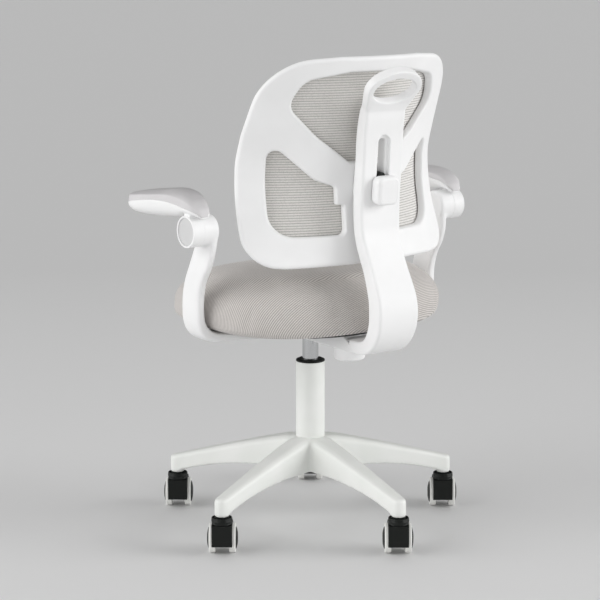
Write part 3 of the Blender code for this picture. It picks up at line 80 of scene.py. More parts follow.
# %% Camera
CAMERA_PLACE = Vector((2.0791, 2.8527, 1.0782))
CAMERA_LENS = 125.307
CAMERA_TURN = math.radians(36)
CAMERA_PITCH = math.radians(10.937)
CAMERA_YAW = math.radians(-0.2924)
RIGHT = Vector((-math.cos(CAMERA_TURN), math.sin(CAMERA_TURN), 0))
AWAY = Vector((-math.sin(CAMERA_TURN), -math.cos(CAMERA_TURN), 0))
UP = Vector((0, 0, 1))
level = RIGHT * math.sin(CAMERA_YAW) + AWAY * math.cos(CAMERA_YAW)
looking = level * math.cos(CAMERA_PITCH) - UP * math.sin(CAMERA_PITCH)
scene = bpy.context.scene
camera = bpy.data.objects.new("camera", bpy.data.cameras.new("camera"))
camera.data.lens = CAMERA_LENS
camera.data.sensor_width = 36
camera.data.clip_end = 200
camera.location = CAMERA_PLACE
camera.rotation_mode = "QUATERNION"
camera.rotation_quaternion = looking.to_track_quat("-Z", "Y")
scene.collection.objects.link(camera)
scene.camera = camera
scene.view_settings.view_transform = "Standard"
print("camera", round((CAMERA_PLACE - Vector((0, 0, 0.4))).length, 2), "m from the chair")

# %% [markdown]
# Colours are written as the hex values one would pick from a picture. Shaders work in linear light, so
# one function turns a hex value into a linear colour. A second one adds a node with its settings, and
# feeds its sockets with plain values or with the outputs of other nodes. That is all that the materials
# below need.


# %% Colour and node tools
def linear(code):
    """A hex colour such as C5BFBA as linear red, green, blue and alpha."""
    values = [int(code[i : i + 2], 16) / 255 for i in (0, 2, 4)]
    return (*[v / 12.92 if v < 0.04045 else ((v + 0.055) / 1.055) ** 2.4 for v in values], 1)


def feed(tree, node, inputs):
    """Gives each named socket a plain value, another node's output or a node, for its first output."""
    for socket, value in inputs.items():
        if isinstance(value, bpy.types.Node):
            value = value.outputs[0]
        if isinstance(value, bpy.types.NodeSocket):
            tree.links.new(value, node.inputs[socket])
        else:
            node.inputs[socket].default_value = value


def add(tree, kind, inputs=None, **settings):
    """A new shader node of this kind, with its settings and inputs."""
    node = tree.nodes.new("ShaderNode" + kind)
    for name, value in settings.items():
        setattr(node, name, value)
    feed(tree, node, inputs or {})
    return node


def blank(name):
    """A new material, its node tree and its Principled shader."""
    material = bpy.data.materials.new(name)
    material.use_nodes = True
    return material, material.node_tree, material.node_tree.nodes["Principled BSDF"]


MM = 0.001
print("white is", [round(v, 3) for v in linear("F2F1EE")])

# %% [markdown]
# The hard plastics are injection moulded: ABS for the white parts, polypropylene for the black ones. A
# mould leaves a faint eroded grain, under a millimetre in size, that breaks up the highlight, and a slow
# unevenness in gloss. Both are noise textures. The grain is drawn a few millimetres wide, coarser than
# life, because a pixel of the picture covers almost two millimetres of chair.


# %% Moulded plastics
def moulded_plastic(name, pale, deep, roughness, grain_mm, grain_height_mm):
    material, tree, shader = blank(name)
    where = add(tree, "TexCoord").outputs["Object"]
    grain = {"Vector": where, "Scale": 1 / (grain_mm * MM), "Detail": 3}
    grain = add(tree, "TexNoise", grain)
    flow = {"Vector": where, "Scale": 1 / (FLOW_MM * MM), "Detail": 2}
    flow = add(tree, "TexNoise", flow)
    tint = add(tree, "ValToRGB", {"Fac": flow})
    for stop, (spot, code) in zip(tint.color_ramp.elements, ((0.35, deep), (0.65, pale))):
        stop.position, stop.color = spot, linear(code)
    gloss = {"Value": grain, "To Min": roughness - GLOSS_DRIFT, "To Max": roughness + GLOSS_DRIFT}
    gloss = add(tree, "MapRange", gloss)
    bump = {"Height": grain, "Strength": 0.25, "Distance": grain_height_mm * MM}
    bump = add(tree, "Bump", bump)
    inputs = {"Base Color": tint, "Roughness": gloss, "Normal": bump, "IOR": PLASTIC_IOR}
    feed(tree, shader, inputs)
    return material


FLOW_MM, GLOSS_DRIFT, PLASTIC_IOR = 60, 0.06, 1.53
WHITE_ABS = moulded_plastic("white_abs_moulded", "F5F5F5", "F2F2F2", 0.52, 2.2, 0.05)
BLACK_PP = moulded_plastic("black_polypropylene_moulded", "0C110E", "090D0A", 0.46, 2.0, 0.08)
GREY_ABS = moulded_plastic("pale_grey_abs_moulded", "D5D5D5", "D1D1D1", 0.45, 2.2, 0.05)
SOFT_PU = moulded_plastic("grey_polyurethane_skin", "D6D4D5", "D1CFD0", 0.58, 2.6, 0.12)
BASE_NYLON = moulded_plastic("white_nylon_moulded", "ECEDEA", "E7E9E5", 0.48, 2.6, 0.08)
TYRE_PU = moulded_plastic("pale_polyurethane_tyre", "F4F4F1", "EFEFEB", 0.52, 2.4, 0.06)
BLACK_PP.node_tree.nodes["Principled BSDF"].inputs["Specular IOR Level"].default_value = 0.3
# Painted shade: the pad's upward-facing skin is coloured darker than its sides, down to TOP_SHADE, where the
# attribute upper marks it, because less light falls on it from above.
TOP_SHADE = 0.8
tree = SOFT_PU.node_tree
skin = tree.nodes["Principled BSDF"].inputs["Base Color"]
upper = add(tree, "Attribute", attribute_name="upper").outputs["Fac"]
painted_top_shade = add(tree, "MapRange", {"Value": upper, "To Min": 1.0, "To Max": TOP_SHADE})
painted_top_shade = {0: skin.links[0].from_socket, 1: painted_top_shade}
painted_top_shade = add(tree, "VectorMath", painted_top_shade, operation="MULTIPLY")
tree.links.new(painted_top_shade.outputs[0], skin)
print("moulded:", WHITE_ABS.name, BASE_NYLON.name, BLACK_PP.name, GREY_ABS.name, SOFT_PU.name, TYRE_PU.name)

# %% [markdown]
# Two metals show: zinc-plated steel on the rods, pins and screws, and hard chrome on the gas cylinder.
# Steel has the fine rings that a lathe leaves across the axis, so its roughness follows a stretched
# noise. Chrome is polished and takes its look from what it mirrors, with only a trace of smudges.


# %% Metals
def metal(name, colour, low, high, streak_mm):
    material, tree, shader = blank(name)
    where = add(tree, "TexCoord").outputs["Object"]
    stretched = add(tree, "Mapping", {"Vector": where, "Scale": (1, 1, 6)})
    streak = {"Vector": stretched, "Scale": 1 / (streak_mm * MM), "Detail": 4}
    streak = add(tree, "TexNoise", streak)
    gloss = add(tree, "MapRange", {"Value": streak, "To Min": low, "To Max": high})
    feed(tree, shader, {"Base Color": linear(colour), "Metallic": 1, "Roughness": gloss})
    return material


ZINC_STEEL = metal("zinc_plated_steel_turned", "BFC1C2", 0.24, 0.42, 12)
CHROME = metal("hard_chrome_polished", "C9CACB", 0.10, 0.18, 30)
print("metals:", ZINC_STEEL.name, CHROME.name)

# %% [markdown]
# The seat cover is a ribbed polyester weave. Its ribs are about 4.6 mm apart: they run slantwise across
# the seat, over the rear edge and down. Each point of the cushion will carry a number called rib, the
# distance along the cloth across the ribs, so a sine of it draws them wherever the cloth bends, as relief
# with painted shade in the low half of each rib. Threads cross the ribs as fine noise, and a little sheen
# gives the soft edge light of cloth.


# %% Seat fabric
def stripes(tree, distance, pitch_mm):
    """A wave from 0 to 1 and back for each pitch of the distance."""
    turns = {0: distance, 1: math.tau / (pitch_mm * MM)}
    turns = add(tree, "Math", turns, operation="MULTIPLY")
    wave = add(tree, "Math", {0: turns}, operation="SINE")
    wave = {"Value": wave, "From Min": -1.0, "From Max": 1.0}
    return add(tree, "MapRange", wave)


RIB_PITCH_MM, THREAD_MM, CLOUD_MM = 4.6, 1.6, 25
SEAT_CLOTH, tree, shader = blank("ribbed_polyester_weave")
rib = add(tree, "Attribute", attribute_name="rib").outputs["Fac"]
height = stripes(tree, rib, RIB_PITCH_MM)
where = add(tree, "TexCoord").outputs["Object"]
thread = {"Vector": where, "Scale": 1 / (THREAD_MM * MM), "Detail": 2}
thread = add(tree, "TexNoise", thread)
cloud = {"Vector": where, "Scale": 1 / (CLOUD_MM * MM), "Detail": 3}
cloud = add(tree, "TexNoise", cloud)
# Painted shade: the ramp darkens the low half of each rib, in step with the bump, so the grooves carry
# painted shade; the fleck and drift below are the yarn's own tone.
ribs = add(tree, "ValToRGB", {"Fac": height})
for stop, (spot, code) in zip(ribs.color_ramp.elements, ((0.0, "9C9793"), (0.55, "D8D3CF"))):
    stop.position, stop.color = spot, linear(code)
fleck = add(tree, "MapRange", {"Value": thread, "To Min": 0.86, "To Max": 1.10})
drift = add(tree, "MapRange", {"Value": cloud, "To Min": 0.95, "To Max": 1.04})
both = add(tree, "Math", {0: fleck, 1: drift}, operation="MULTIPLY")
groove_shade_and_yarn_tone = add(tree, "VectorMath", {0: ribs, 1: both}, operation="MULTIPLY")
relief = add(tree, "Math", {0: thread, 1: height}, operation="ADD")
bump = add(tree, "Bump", {"Height": relief, "Strength": 0.5, "Distance": 0.6 * MM})
inputs = {"Base Color": groove_shade_and_yarn_tone, "Normal": bump, "Roughness": 0.9}
feed(tree, shader, inputs | {"Sheen Weight": 0.25, "Sheen Roughness": 0.5})
print("seat ribs", RIB_PITCH_MM, "mm apart")

# %% [markdown]
# The back is a knitted spacer mesh: soft grey-beige cloth with thin dark courses running level across it,
# about 4.2 mm apart. The courses are lines of constant height, so the height itself drives the wave. The
# holes of the knit are finer than a pixel and are drawn a little coarser, as dark pits.

# %% Back mesh fabric
COURSE_MM = 4.2
KNIT_MM = 2.4
MESH_CLOTH, tree, shader = blank("knitted_polyester_spacer_mesh")
where = add(tree, "TexCoord").outputs["Object"]
along = add(tree, "SeparateXYZ", {"Vector": where})
height = stripes(tree, along.outputs["Z"], COURSE_MM)
courses = add(tree, "ValToRGB", {"Fac": height})
for stop, (spot, code) in zip(courses.color_ramp.elements, ((0.02, "A9A7A4"), (0.34, "DCDAD7"))):
    stop.position, stop.color = spot, linear(code)
pits = {"Vector": where, "Scale": 1 / (KNIT_MM * MM)}
pits = add(tree, "TexVoronoi", pits)
shade = {"Value": pits, "From Min": 0.0, "From Max": 0.5, "To Min": 0.82, "To Max": 1.05}
shade = add(tree, "MapRange", shade)
knit = add(tree, "VectorMath", {0: courses, 1: shade}, operation="MULTIPLY")
relief = add(tree, "Math", {0: pits, 1: height}, operation="ADD")
bump = add(tree, "Bump", {"Height": relief, "Strength": 0.5, "Distance": 0.5 * MM})
inputs = {"Base Color": knit, "Normal": bump, "Roughness": 0.9}
inputs |= {"Sheen Weight": 0.2, "Subsurface Weight": 0.8, "Subsurface Scale": 4 * MM}
feed(tree, shader, inputs | {"Subsurface Radius": (1, 1, 1)})
print("mesh courses", COURSE_MM, "mm apart")

# %% [markdown]
# The pieces are built from a few kinds of shape: lofts through cross-sections, turned profiles, and flat
# outlines with thickness. Lofted parts run on smooth curves through a short table of stations. All of
# them are drawn about the column's axis and moved to their place at the end.


# %% Mesh tools
def mesh_from(bm):
    """The bmesh as a mesh with its faces turned outwards."""
    bmesh.ops.recalc_face_normals(bm, faces=bm.faces)
    if bm.calc_volume(signed=True) < 0:
        bmesh.ops.reverse_faces(bm, faces=bm.faces)
    mesh = bpy.data.meshes.new("shape")
    bm.to_mesh(mesh)
    bm.free()
    return mesh


def joined(shapes):
    bm = bmesh.new()
    for shape in shapes:
        bm.from_mesh(shape)
    mesh = bpy.data.meshes.new("joined")
    bm.to_mesh(mesh)
    bm.free()
    return mesh


def placed(mesh, matrix):
    copy = mesh.copy()
    copy.transform(matrix)
    if matrix.determinant() < 0:
        copy.flip_normals()
    return copy


def bench(data):
    """A passing object to hang modifiers on."""
    obj = bpy.data.objects.new("bench", data)
    scene.collection.objects.link(obj)
    return obj


def applied(obj):
    """The object's mesh after its modifiers. The object goes."""
    bpy.context.view_layer.update()
    mesh = bpy.data.meshes.new_from_object(obj.evaluated_get(bpy.context.evaluated_depsgraph_get()))
    bpy.data.objects.remove(obj)
    return mesh


def cut(mesh, tool):
    body, helper = bench(mesh), bench(tool)
    step = body.modifiers.new("cut", "BOOLEAN")
    step.operation = "DIFFERENCE"
    step.solver = "EXACT"
    step.object = helper
    result = applied(body)
    bpy.data.objects.remove(helper)
    return result


def sliced(mesh, spot, normal):
    """The mesh without what lies beyond a plane, its cut closed with a flat face."""
    bm = bmesh.new()
    bm.from_mesh(mesh)
    geom = bm.verts[:] + bm.edges[:] + bm.faces[:]
    made = bmesh.ops.bisect_plane(bm, geom=geom, plane_co=spot, plane_no=normal, clear_outer=True)
    bmesh.ops.holes_fill(bm, edges=[e for e in made["geom_cut"] if isinstance(e, bmesh.types.BMEdge)])
    return mesh_from(bm)


def through(stations, steps, path=3):
    """Rows of numbers on a smooth curve through the stations, whose first few columns are the path."""
    table = np.array(stations, float)
    gaps = np.linalg.norm(np.diff(table[:, :path], axis=0), axis=1)
    at = np.concatenate([[0], np.cumsum(gaps)])
    slope = np.gradient(table, at, axis=0)
    rows = []
    for i, gap in enumerate(gaps):
        for t in np.arange(steps) / steps:
            a, b = t**3 - 2 * t**2 + t, t**3 - t**2
            c = 3 * t**2 - 2 * t**3
            rows.append(table[i] * (1 - c) + table[i + 1] * c + (slope[i] * a + slope[i + 1] * b) * gap)
    return rows + [table[-1]]


def loft(rings):
    """A closed skin over rings of points, with a flat cap on each end."""
    bm = bmesh.new()
    rows = [[bm.verts.new(point) for point in ring] for ring in rings]
    for low, high in zip(rows, rows[1:]):
        for i, corner in enumerate(low):
            j = (i + 1) % len(low)
            bm.faces.new((corner, low[j], high[j], high[i]))
    bm.faces.new(rows[0])
    bm.faces.new(rows[-1])
    return mesh_from(bm)


def rounded(corners, steps=6, closed=True):
    """Corners (x, y, radius) as a line with an arc at each corner."""
    points = []
    for i, (x, y, radius) in enumerate(corners):
        if radius == 0 or not closed and i in (0, len(corners) - 1):
            points.append((x, y))
            continue
        here = Vector((x, y))
        back = (Vector(corners[i - 1][:2]) - here).normalized()
        ahead = (Vector(corners[(i + 1) % len(corners)][:2]) - here).normalized()
        half = math.acos(max(-1, min(1, back.dot(ahead)))) / 2
        centre = here + (back + ahead).normalized() * (radius / math.sin(half))
        start = here + back * (radius / math.tan(half)) - centre
        end = here + ahead * (radius / math.tan(half)) - centre
        first = math.atan2(start.y, start.x)
        sweep = (math.atan2(end.y, end.x) - first + math.pi) % math.tau - math.pi
        for k in range(steps + 1):
            angle = first + sweep * k / steps
            points.append((centre.x + radius * math.cos(angle), centre.y + radius * math.sin(angle)))
    return points


def turned(corners, steps=96, closed=False):
    """A shape turned about Z from (radius, height, rounding) corners."""
    bm = bmesh.new()
    line = [bm.verts.new((x, 0, z)) for x, z in rounded(corners, 5, closed)]
    pairs = list(zip(line, line[1:]))
    if closed:
        pairs.append((line[-1], line[0]))
    edges = [bm.edges.new(pair) for pair in pairs]
    turn = {"axis": (0, 0, 1), "cent": (0, 0, 0), "angle": math.tau, "steps": steps}
    bmesh.ops.spin(bm, geom=line + edges, use_merge=True, **turn)
    bmesh.ops.remove_doubles(bm, verts=bm.verts, dist=1e-6)
    return mesh_from(bm)


def plate(outline, thickness, holes=()):
    """A flat outline in XY with holes, thickness thick about Z."""
    curve = bpy.data.curves.new("outline", "CURVE")
    curve.dimensions = "2D"
    curve.fill_mode = "BOTH"
    curve.extrude = thickness / 2
    for loop in (outline, *holes):
        line = curve.splines.new("POLY")
        line.points.add(len(loop) - 1)
        for point, (x, y) in zip(line.points, loop):
            point.co = (x, y, 0, 1)
        line.use_cyclic_u = True
    mesh = applied(bench(curve))
    bm = bmesh.new()
    bm.from_mesh(mesh)
    bmesh.ops.remove_doubles(bm, verts=bm.verts, dist=1e-6)
    return mesh_from(bm)


def drum(radius, low, high, soft_low=0, soft_high=0):
    """The corners of a plain cylinder, for turning."""
    return [(0, high, 0), (radius, high, soft_high), (radius, low, soft_low), (0, low, 0)]


def oblong(x0, y0, x1, y1):
    return [(x0, y0), (x1, y0), (x1, y1), (x0, y1)]


ALONG_X = spun(math.pi / 2, 4, "Y")
SIDES = {"left": Matrix.Identity(4), "right": Matrix.Scale(-1, 4, (1, 0, 0))}
print("mesh tools ready")

# %% [markdown]
# Moulded parts have no sharp edges, and where a post runs into a knuckle the corner is a soft fillet.
# Beveling such joins by hand is slow. Here the overlapping shapes are given one common skin by a voxel
# Remesh modifier, and the skin is then relaxed: each point moves towards the middle of its neighbours a
# few times, which rounds outer edges and fills inner corners alike.


# %% A common soft skin
def relax(mesh, rounds, share=None):
    """Moves each point halfway to its neighbours' middle, rounds times. share(places) scales the move."""
    count = len(mesh.vertices)
    place = np.empty(count * 3)
    mesh.vertices.foreach_get("co", place)
    place = place.reshape(-1, 3)
    ends = np.empty(len(mesh.edges) * 2, int)
    mesh.edges.foreach_get("vertices", ends)
    a, b = ends.reshape(-1, 2).T
    near = np.bincount(a, minlength=count) + np.bincount(b, minlength=count)
    part = 0.5 if share is None else 0.5 * share(place)[:, None]
    for _ in range(rounds):
        total = [np.bincount(a, place[b, i], count) + np.bincount(b, place[a, i], count) for i in range(3)]
        place += part * (np.stack(total, 1) / near[:, None] - place)
    mesh.vertices.foreach_set("co", place.ravel())
    mesh.update()
    return mesh


def skinned(shapes, cell, rounds, share=None):
    """One relaxed skin of square cells round overlapping shapes."""
    obj = bench(joined(shapes))
    skin = obj.modifiers.new("skin", "REMESH")
    skin.mode = "VOXEL"
    skin.voxel_size = cell
    return relax(applied(obj), rounds, share)


def copied(node):
    """A copy of a solid's mesh, drawn about the column's axis."""
    return placed(nodes[node].data, shift((0, -COLUMN_Y, 0)))


def piece(name, mesh, finish, *stands_for, place=Matrix.Identity(4), sharp=35):
    """Puts a mesh in its place as the look of the solids that it stands for."""
    mesh.shade_smooth()
    mesh.set_sharp_from_angle(angle=math.radians(sharp))
    if not mesh.materials or finish.name not in mesh.materials:
        mesh.materials.clear()
        mesh.materials.append(finish)
    obj = bpy.data.objects.new(name, mesh)
    obj.matrix_world = shift((0, COLUMN_Y, 0)) @ place
    scene.collection.objects.link(obj)
    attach(obj, nodes[stands_for[0]]["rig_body"])
    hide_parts(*stands_for)
    return obj


# %% [markdown]
# The star base is one moulding: five arched legs with flat tops and sloping sides that flow together at
# the hub, each ending in a round boot over its caster. Five lofted legs and five turned boots share one
# skin. The hole for the column is cut last, so its edge stays crisp.

# %% Star base
LEG_ROOT, LEG_TIP = 0.04, 0.2495
ROOT_TOP, TOP_FALL, ROOT_LOW, LOW_FALL = 0.155, 0.0545, 0.1, 0.0309
BOOT_R, BOOT_LOW, BOOT_TOP = 0.01245, 0.0676, 0.1
HUB_HOLE_R = 0.0253
legs = [math.pi / 2 + math.tau * i / 5 for i in range(5)]


def leg_section(t):
    """A leg's cross-section, t from root to tip."""
    arch = max(t, 0)
    top = ROOT_TOP - TOP_FALL * arch**1.1
    bottom = ROOT_LOW - LOW_FALL * arch**2.6
    half_top, half_low = 0.0195 - 0.0085 * arch, 0.027 - 0.0148 * arch
    soft = half_top * 0.3
    s = LEG_ROOT + (LEG_TIP - LEG_ROOT) * t
    side = [(half_low, bottom), (half_top + soft / 4, top - soft), (half_top - soft, top)]
    return [Vector((s, y, z)) for y, z in side] + [Vector((s, -y, z)) for y, z in reversed(side)]


leg = loft([leg_section(-LEG_ROOT / (LEG_TIP - LEG_ROOT))] + [leg_section(i / 40) for i in range(41)])
boot = turned(drum(BOOT_R, BOOT_LOW, BOOT_TOP, 0.001, 0.006), 48)
shapes = []
for angle in legs:
    shapes.append(placed(leg, spun(angle, 4, "Z")))
    shapes.append(placed(boot, spun(angle, 4, "Z") @ shift((LEG_TIP, 0, 0))))
star = skinned(shapes, 0.002, 10)
star = cut(star, turned(drum(HUB_HOLE_R, 0.05, 0.2)))
piece("star_base_moulding", star, BASE_NYLON, "star_base", sharp=60)

# %% [markdown]
# Each caster has a black hood with a round collar over two wheels. The hood starts from a copy of the
# solid, given a finer skin so that its edges catch the light. A groove sets off the collar, whose top is
# dished round the boot, and the skirt ends above the floor so that the tyres show. A wheel is a turned
# profile: a pale tyre with rounded shoulders and a dark domed cap. The five hoods share one mesh, and so
# do the ten wheels.

# %% Casters
CASTERS = ("rear", "right", "front_right", "front_left", "left")
CASTER_TURN = math.radians(-36)
WHEEL_R, WHEEL_WIDE, WHEEL_OUT, TRAIL = 0.025, 0.011, 0.0114, 0.02
CAP_R, DOME, AXLE_HOLE = 0.0195, 0.0035, 0.0035
COLLAR_R, COLLAR_INNER, SKIRT_Z = 0.018, 0.015, 0.0185
stands = []
for angle in legs:
    stem = shift((LEG_TIP * math.cos(angle), LEG_TIP * math.sin(angle), 0))
    stands.append(stem @ spun(CASTER_TURN, 4, "Z"))
hood = placed(copied("caster_rear_hood"), stands[0].inverted())
ring = [(COLLAR_INNER, 0.06, 0), (COLLAR_R, 0.06, 0.0008)]
ring += [(COLLAR_R, 0.0625, 0.0008), (COLLAR_INNER, 0.0625, 0)]
hood = skinned([hood, turned(ring, 64, True)], 0.0008, 5)
groove = [(0.0152, 0.0566, 0), (0.03, 0.0572, 0), (0.03, 0.0538, 0), (0.0152, 0.055, 0)]
dish = [(0.0127, 0.07, 0), (0.016, 0.07, 0), (0.0156, 0.0628, 0), (0.0127, 0.0628, 0)]
for ring in (groove, dish):
    hood = cut(hood, turned(ring, closed=True))
hood = sliced(hood, (0, 0, SKIRT_Z), (0, 0, -1))
wheel = turned(
    [
        (0, WHEEL_WIDE + DOME, 0),
        (CAP_R * 0.5, WHEEL_WIDE + DOME * 0.93, 0.02),
        (CAP_R * 0.94, WHEEL_WIDE + DOME * 0.3, 0.004),
        (CAP_R * 0.97, 0.0105, 0),
        (CAP_R, 0.0105, 0),
        (CAP_R, WHEEL_WIDE, 0.0002),
        (WHEEL_R, WHEEL_WIDE, 0.0022),
        (WHEEL_R, 0, 0.0022),
        (AXLE_HOLE, 0, 0),
        (AXLE_HOLE, 0.004, 0),
        (0, 0.004, 0),
    ],
    72,
)
wheel.materials.append(TYRE_PU)
wheel.materials.append(BLACK_PP)
for face in wheel.polygons:
    middle = face.center
    face.material_index = int(math.hypot(middle.x, middle.y) < CAP_R and middle.z > 0.002)
for name, stand in zip(CASTERS, stands):
    piece(f"caster_{name}_hood_moulding", hood, BLACK_PP, f"caster_{name}_hood", place=stand, sharp=60)
    for side, sign in (("left", 1), ("right", -1)):
        hub = stand @ shift((sign * WHEEL_OUT, -TRAIL, WHEEL_R))
        hub = hub @ spun(sign * math.pi / 2, 4, "Y")
        piece(f"caster_{name}_wheel_{side}_turned", wheel, TYRE_PU, f"caster_{name}_wheel_{side}", place=hub)

# %% [markdown]
# The gas lift is a white outer tube with a black guide bush in its top and a chromed cylinder that slides
# in it. These are lathe shapes, so turned profiles with small rounded edges do it best.

# %% Gas lift
TUBE_R, TUBE_BORE, TUBE_LOW, TUBE_TOP = 0.025, 0.0225, 0.097, 0.288
BUSH_BORE, SLEEVE_R, LIP, ROD_R, EDGE = 0.0143, 0.0222, 0.0045, 0.014, 0.0006
tube = [(TUBE_BORE, TUBE_TOP, 0), (TUBE_R, TUBE_TOP, EDGE)]
tube += [(TUBE_R, TUBE_LOW, EDGE), (TUBE_BORE, TUBE_LOW, 0)]
piece("column_tube_turned", turned(tube, closed=True), BASE_NYLON, "lift_column_tube")
low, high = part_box("column_guide_bush")
bush = [
    (BUSH_BORE, high.z, 0.0005),
    (0.02, high.z, 0.0015),
    (TUBE_R, high.z - 0.0022, 0.0008),
    (TUBE_R, high.z - LIP, 0),
    (SLEEVE_R, high.z - LIP, 0),
    (SLEEVE_R, low.z, 0),
    (BUSH_BORE, low.z, 0),
]
piece("guide_bush_turned", turned(bush, closed=True), BLACK_PP, "column_guide_bush")
low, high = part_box("lift_cylinder")
rod = turned(drum(ROD_R, low.z, high.z, EDGE, EDGE))
piece("gas_cylinder_turned", rod, CHROME, "lift_cylinder")

# %% [markdown]
# Under the seat a white housing holds the lift and takes the back bar's tongue, and a drum-shaped knob
# below it clamps the tongue. The housing takes a finer skin from its solid. The knob is turned, with soft
# edges and a shallow dish.

# %% Mechanism under the seat
housing = skinned([copied("mechanism_housing")], 0.0013, 6)
piece("housing_moulding", housing, WHITE_ABS, "mechanism_housing", sharp=60)
low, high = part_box("depth_knob")
knob = [
    (0, high.z, 0),
    (0.0245, high.z, 0.001),
    (0.027, high.z - 0.003, 0.002),
    (0.0262, low.z + 0.003, 0.004),
    (0.0225, low.z, 0.002),
    (0.02, low.z + 0.0006, 0.001),
    (0, low.z + 0.0006, 0),
]
KNOB_PLACE = shift((0, 0.112, 0))
piece("depth_knob_turned", turned(knob), WHITE_ABS, "depth_knob", place=KNOB_PLACE)
paddle = skinned([copied("lift_lever_paddle")], 0.0009, 6)
piece("lever_paddle_moulding", paddle, BLACK_PP, "lift_lever_paddle")

# %% [markdown]
# The lever that frees the lift is a bent steel rod. A curve with a round bevel follows the same four
# corners as the solid, with a real bend at each one.

# %% Lift lever rod
BEND, LEVER_R = 0.012, 0.003
lever = [Vector((0.004, 0, 0.3513)), Vector((-0.048, 0, 0.3513))]
lever += [Vector((-0.082, -0.05, 0.3368)), Vector((-0.192, -0.058, 0.3368))]
points = [lever[0]]
for before, here, after in zip(lever, lever[1:], lever[2:]):
    start = here + (before - here).normalized() * BEND
    end = here + (after - here).normalized() * BEND
    points += [start * (1 - t) ** 2 + here * 2 * t * (1 - t) + end * t**2 for t in np.linspace(0, 1, 9)]
points.append(lever[-1])
curve = bpy.data.curves.new("lever", "CURVE")
curve.dimensions = "3D"
curve.bevel_depth = LEVER_R
curve.bevel_resolution = 5
curve.use_fill_caps = True
line = curve.splines.new("POLY")
line.points.add(len(points) - 1)
for point, spot in zip(line.points, points):
    point.co = (*spot, 1)
piece("lever_rod_bent", applied(bench(curve)), ZINC_STEEL, "lift_lever_rod")

# %% [markdown]
# An arm post is a flat blade that comes out from under the seat, turns up beside it and leans back into a
# round knuckle. It is a loft along a smooth path with a squared-off oval section. Knuckle and blade share
# a skin that is relaxed most where they meet, so the fillet is wide there and the blade keeps its size
# elsewhere.

# %% Arm posts
HINGE = Vector((0.283, 0.0456, 0.5455))
KNUCKLE_INNER, KNUCKLE_OUTER, KNUCKLE_R = 0.2325, 0.2614, 0.0259
POST = [
    (0.092, 0.006, 0.3528, 0.0066, 0.024),
    (0.146, 0.006, 0.3528, 0.0066, 0.024),
    (0.168, 0.006, 0.3553, 0.0068, 0.0242),
    (0.195, 0.006, 0.3578, 0.0076, 0.0245),
    (0.218, 0.006, 0.3608, 0.0088, 0.0248),
    (0.2345, 0.006, 0.3715, 0.0094, 0.025),
    (0.2422, 0.006, 0.387, 0.009, 0.025),
    (0.244, 0.006, 0.405, 0.0084, 0.025),
    (0.244, 0.0075, 0.432, 0.0082, 0.025),
    (0.244, 0.0145, 0.456, 0.008, 0.0252),
    (0.2434, 0.029, 0.483, 0.0074, 0.0272),
    (0.2422, 0.0392, 0.508, 0.0074, 0.0264),
    (0.2405, 0.0443, 0.5275, 0.0076, 0.024),
    (0.24, 0.0456, 0.5455, 0.0076, 0.0254),
]


def squared_oval(half_width, half_height, power, count=32):
    points = []
    for i in range(count):
        c, s = math.cos(math.tau * i / count), math.sin(math.tau * i / count)
        x = math.copysign(abs(c) ** (2 / power), c) * half_width
        points.append((x, math.copysign(abs(s) ** (2 / power), s) * half_height))
    return points


rows = through(POST, 8)
rings = []
for i, row in enumerate(rows):
    before, after = rows[max(0, i - 1)], rows[min(len(rows) - 1, i + 1)]
    heading = Vector((after[0] - before[0], 0, after[2] - before[2])).normalized()
    across = Vector((heading.z, 0, -heading.x))
    section = squared_oval(row[3] + 0.0002, row[4] + 0.0004, 4)
    rings.append([Vector(row[:3]) + across * x + Vector((0, y, 0)) for x, y in section])
SPARE = 0.004
knuckle = turned(drum(KNUCKLE_R, KNUCKLE_INNER, KNUCKLE_OUTER + SPARE, 0.003))
knuckle = placed(knuckle, shift((0, HINGE.y, HINGE.z)) @ ALONG_X)


def near_knuckle(place):
    """A share that is 1 round the join under the knuckle, and small on the blade and the knuckle itself."""
    below = np.clip((place[:, 2] - HINGE.z + 0.06) / 0.04, 0, 1)
    inner = np.clip((KNUCKLE_OUTER + 0.001 - place[:, 0]) / 0.004, 0, 1)
    return 0.12 + 0.88 * below * inner


post = skinned([loft(rings), knuckle], 0.0013, 22, near_knuckle)
post = sliced(post, (KNUCKLE_OUTER, 0, 0), (1, 0, 0))
for side, turn in SIDES.items():
    piece(f"arm_post_{side}_moulding", placed(post, turn), WHITE_ABS, f"arm_post_{side}", sharp=60)

# %% [markdown]
# An armrest swings up on a barrel at its rear end. Its white shell is a shallow boat that grows into the
# barrel, and a grey soft pad lies on it and drapes over the barrel behind. Both are lofts along the arm,
# drawn about the hinge: stations give the underside and the top, and the width narrows to a rounded nose.
# A pale grey disc sits in the barrel's outer end, inside a thin white rim.

# %% Armrests
ARM_FRONT, ARM_NOSE = 0.2, 0.05
PLAN = [
    (-0.2, -0.058, 0.002, 0.0),
    (-0.13, -0.058, 0.002, 0.0),
    (-0.066, -0.058, 0.002, 0.006),
    (-0.03, -0.0485, 0.002, 0.009),
    (-0.0133, -0.044, 0.002, 0.0075),
    (0.0033, -0.039, 0.001, 0.0055),
    (0.015, -0.0355, -0.0025, 0.003),
    (0.022, -0.0325, -0.008, 0.001),
    (0.027, -0.0255, -0.0145, 0.0),
]
SHELL = [
    (-0.199, 0.0215, 0.0228),
    (-0.19, 0.0165, 0.0255),
    (-0.175, 0.0118, 0.029),
    (-0.15, 0.0105, 0.033),
    (-0.13, 0.0108, 0.0362),
    (-0.095, 0.013, 0.0402),
    (-0.055, 0.017, 0.0412),
    (-0.026, 0.0215, 0.0392),
    (-0.01, 0.0272, 0.037),
    (0.004, 0.0275, 0.0352),
    (0.014, 0.0265, 0.0325),
    (0.0215, 0.0238, 0.0282),
    (0.0262, 0.0212, 0.023),
]
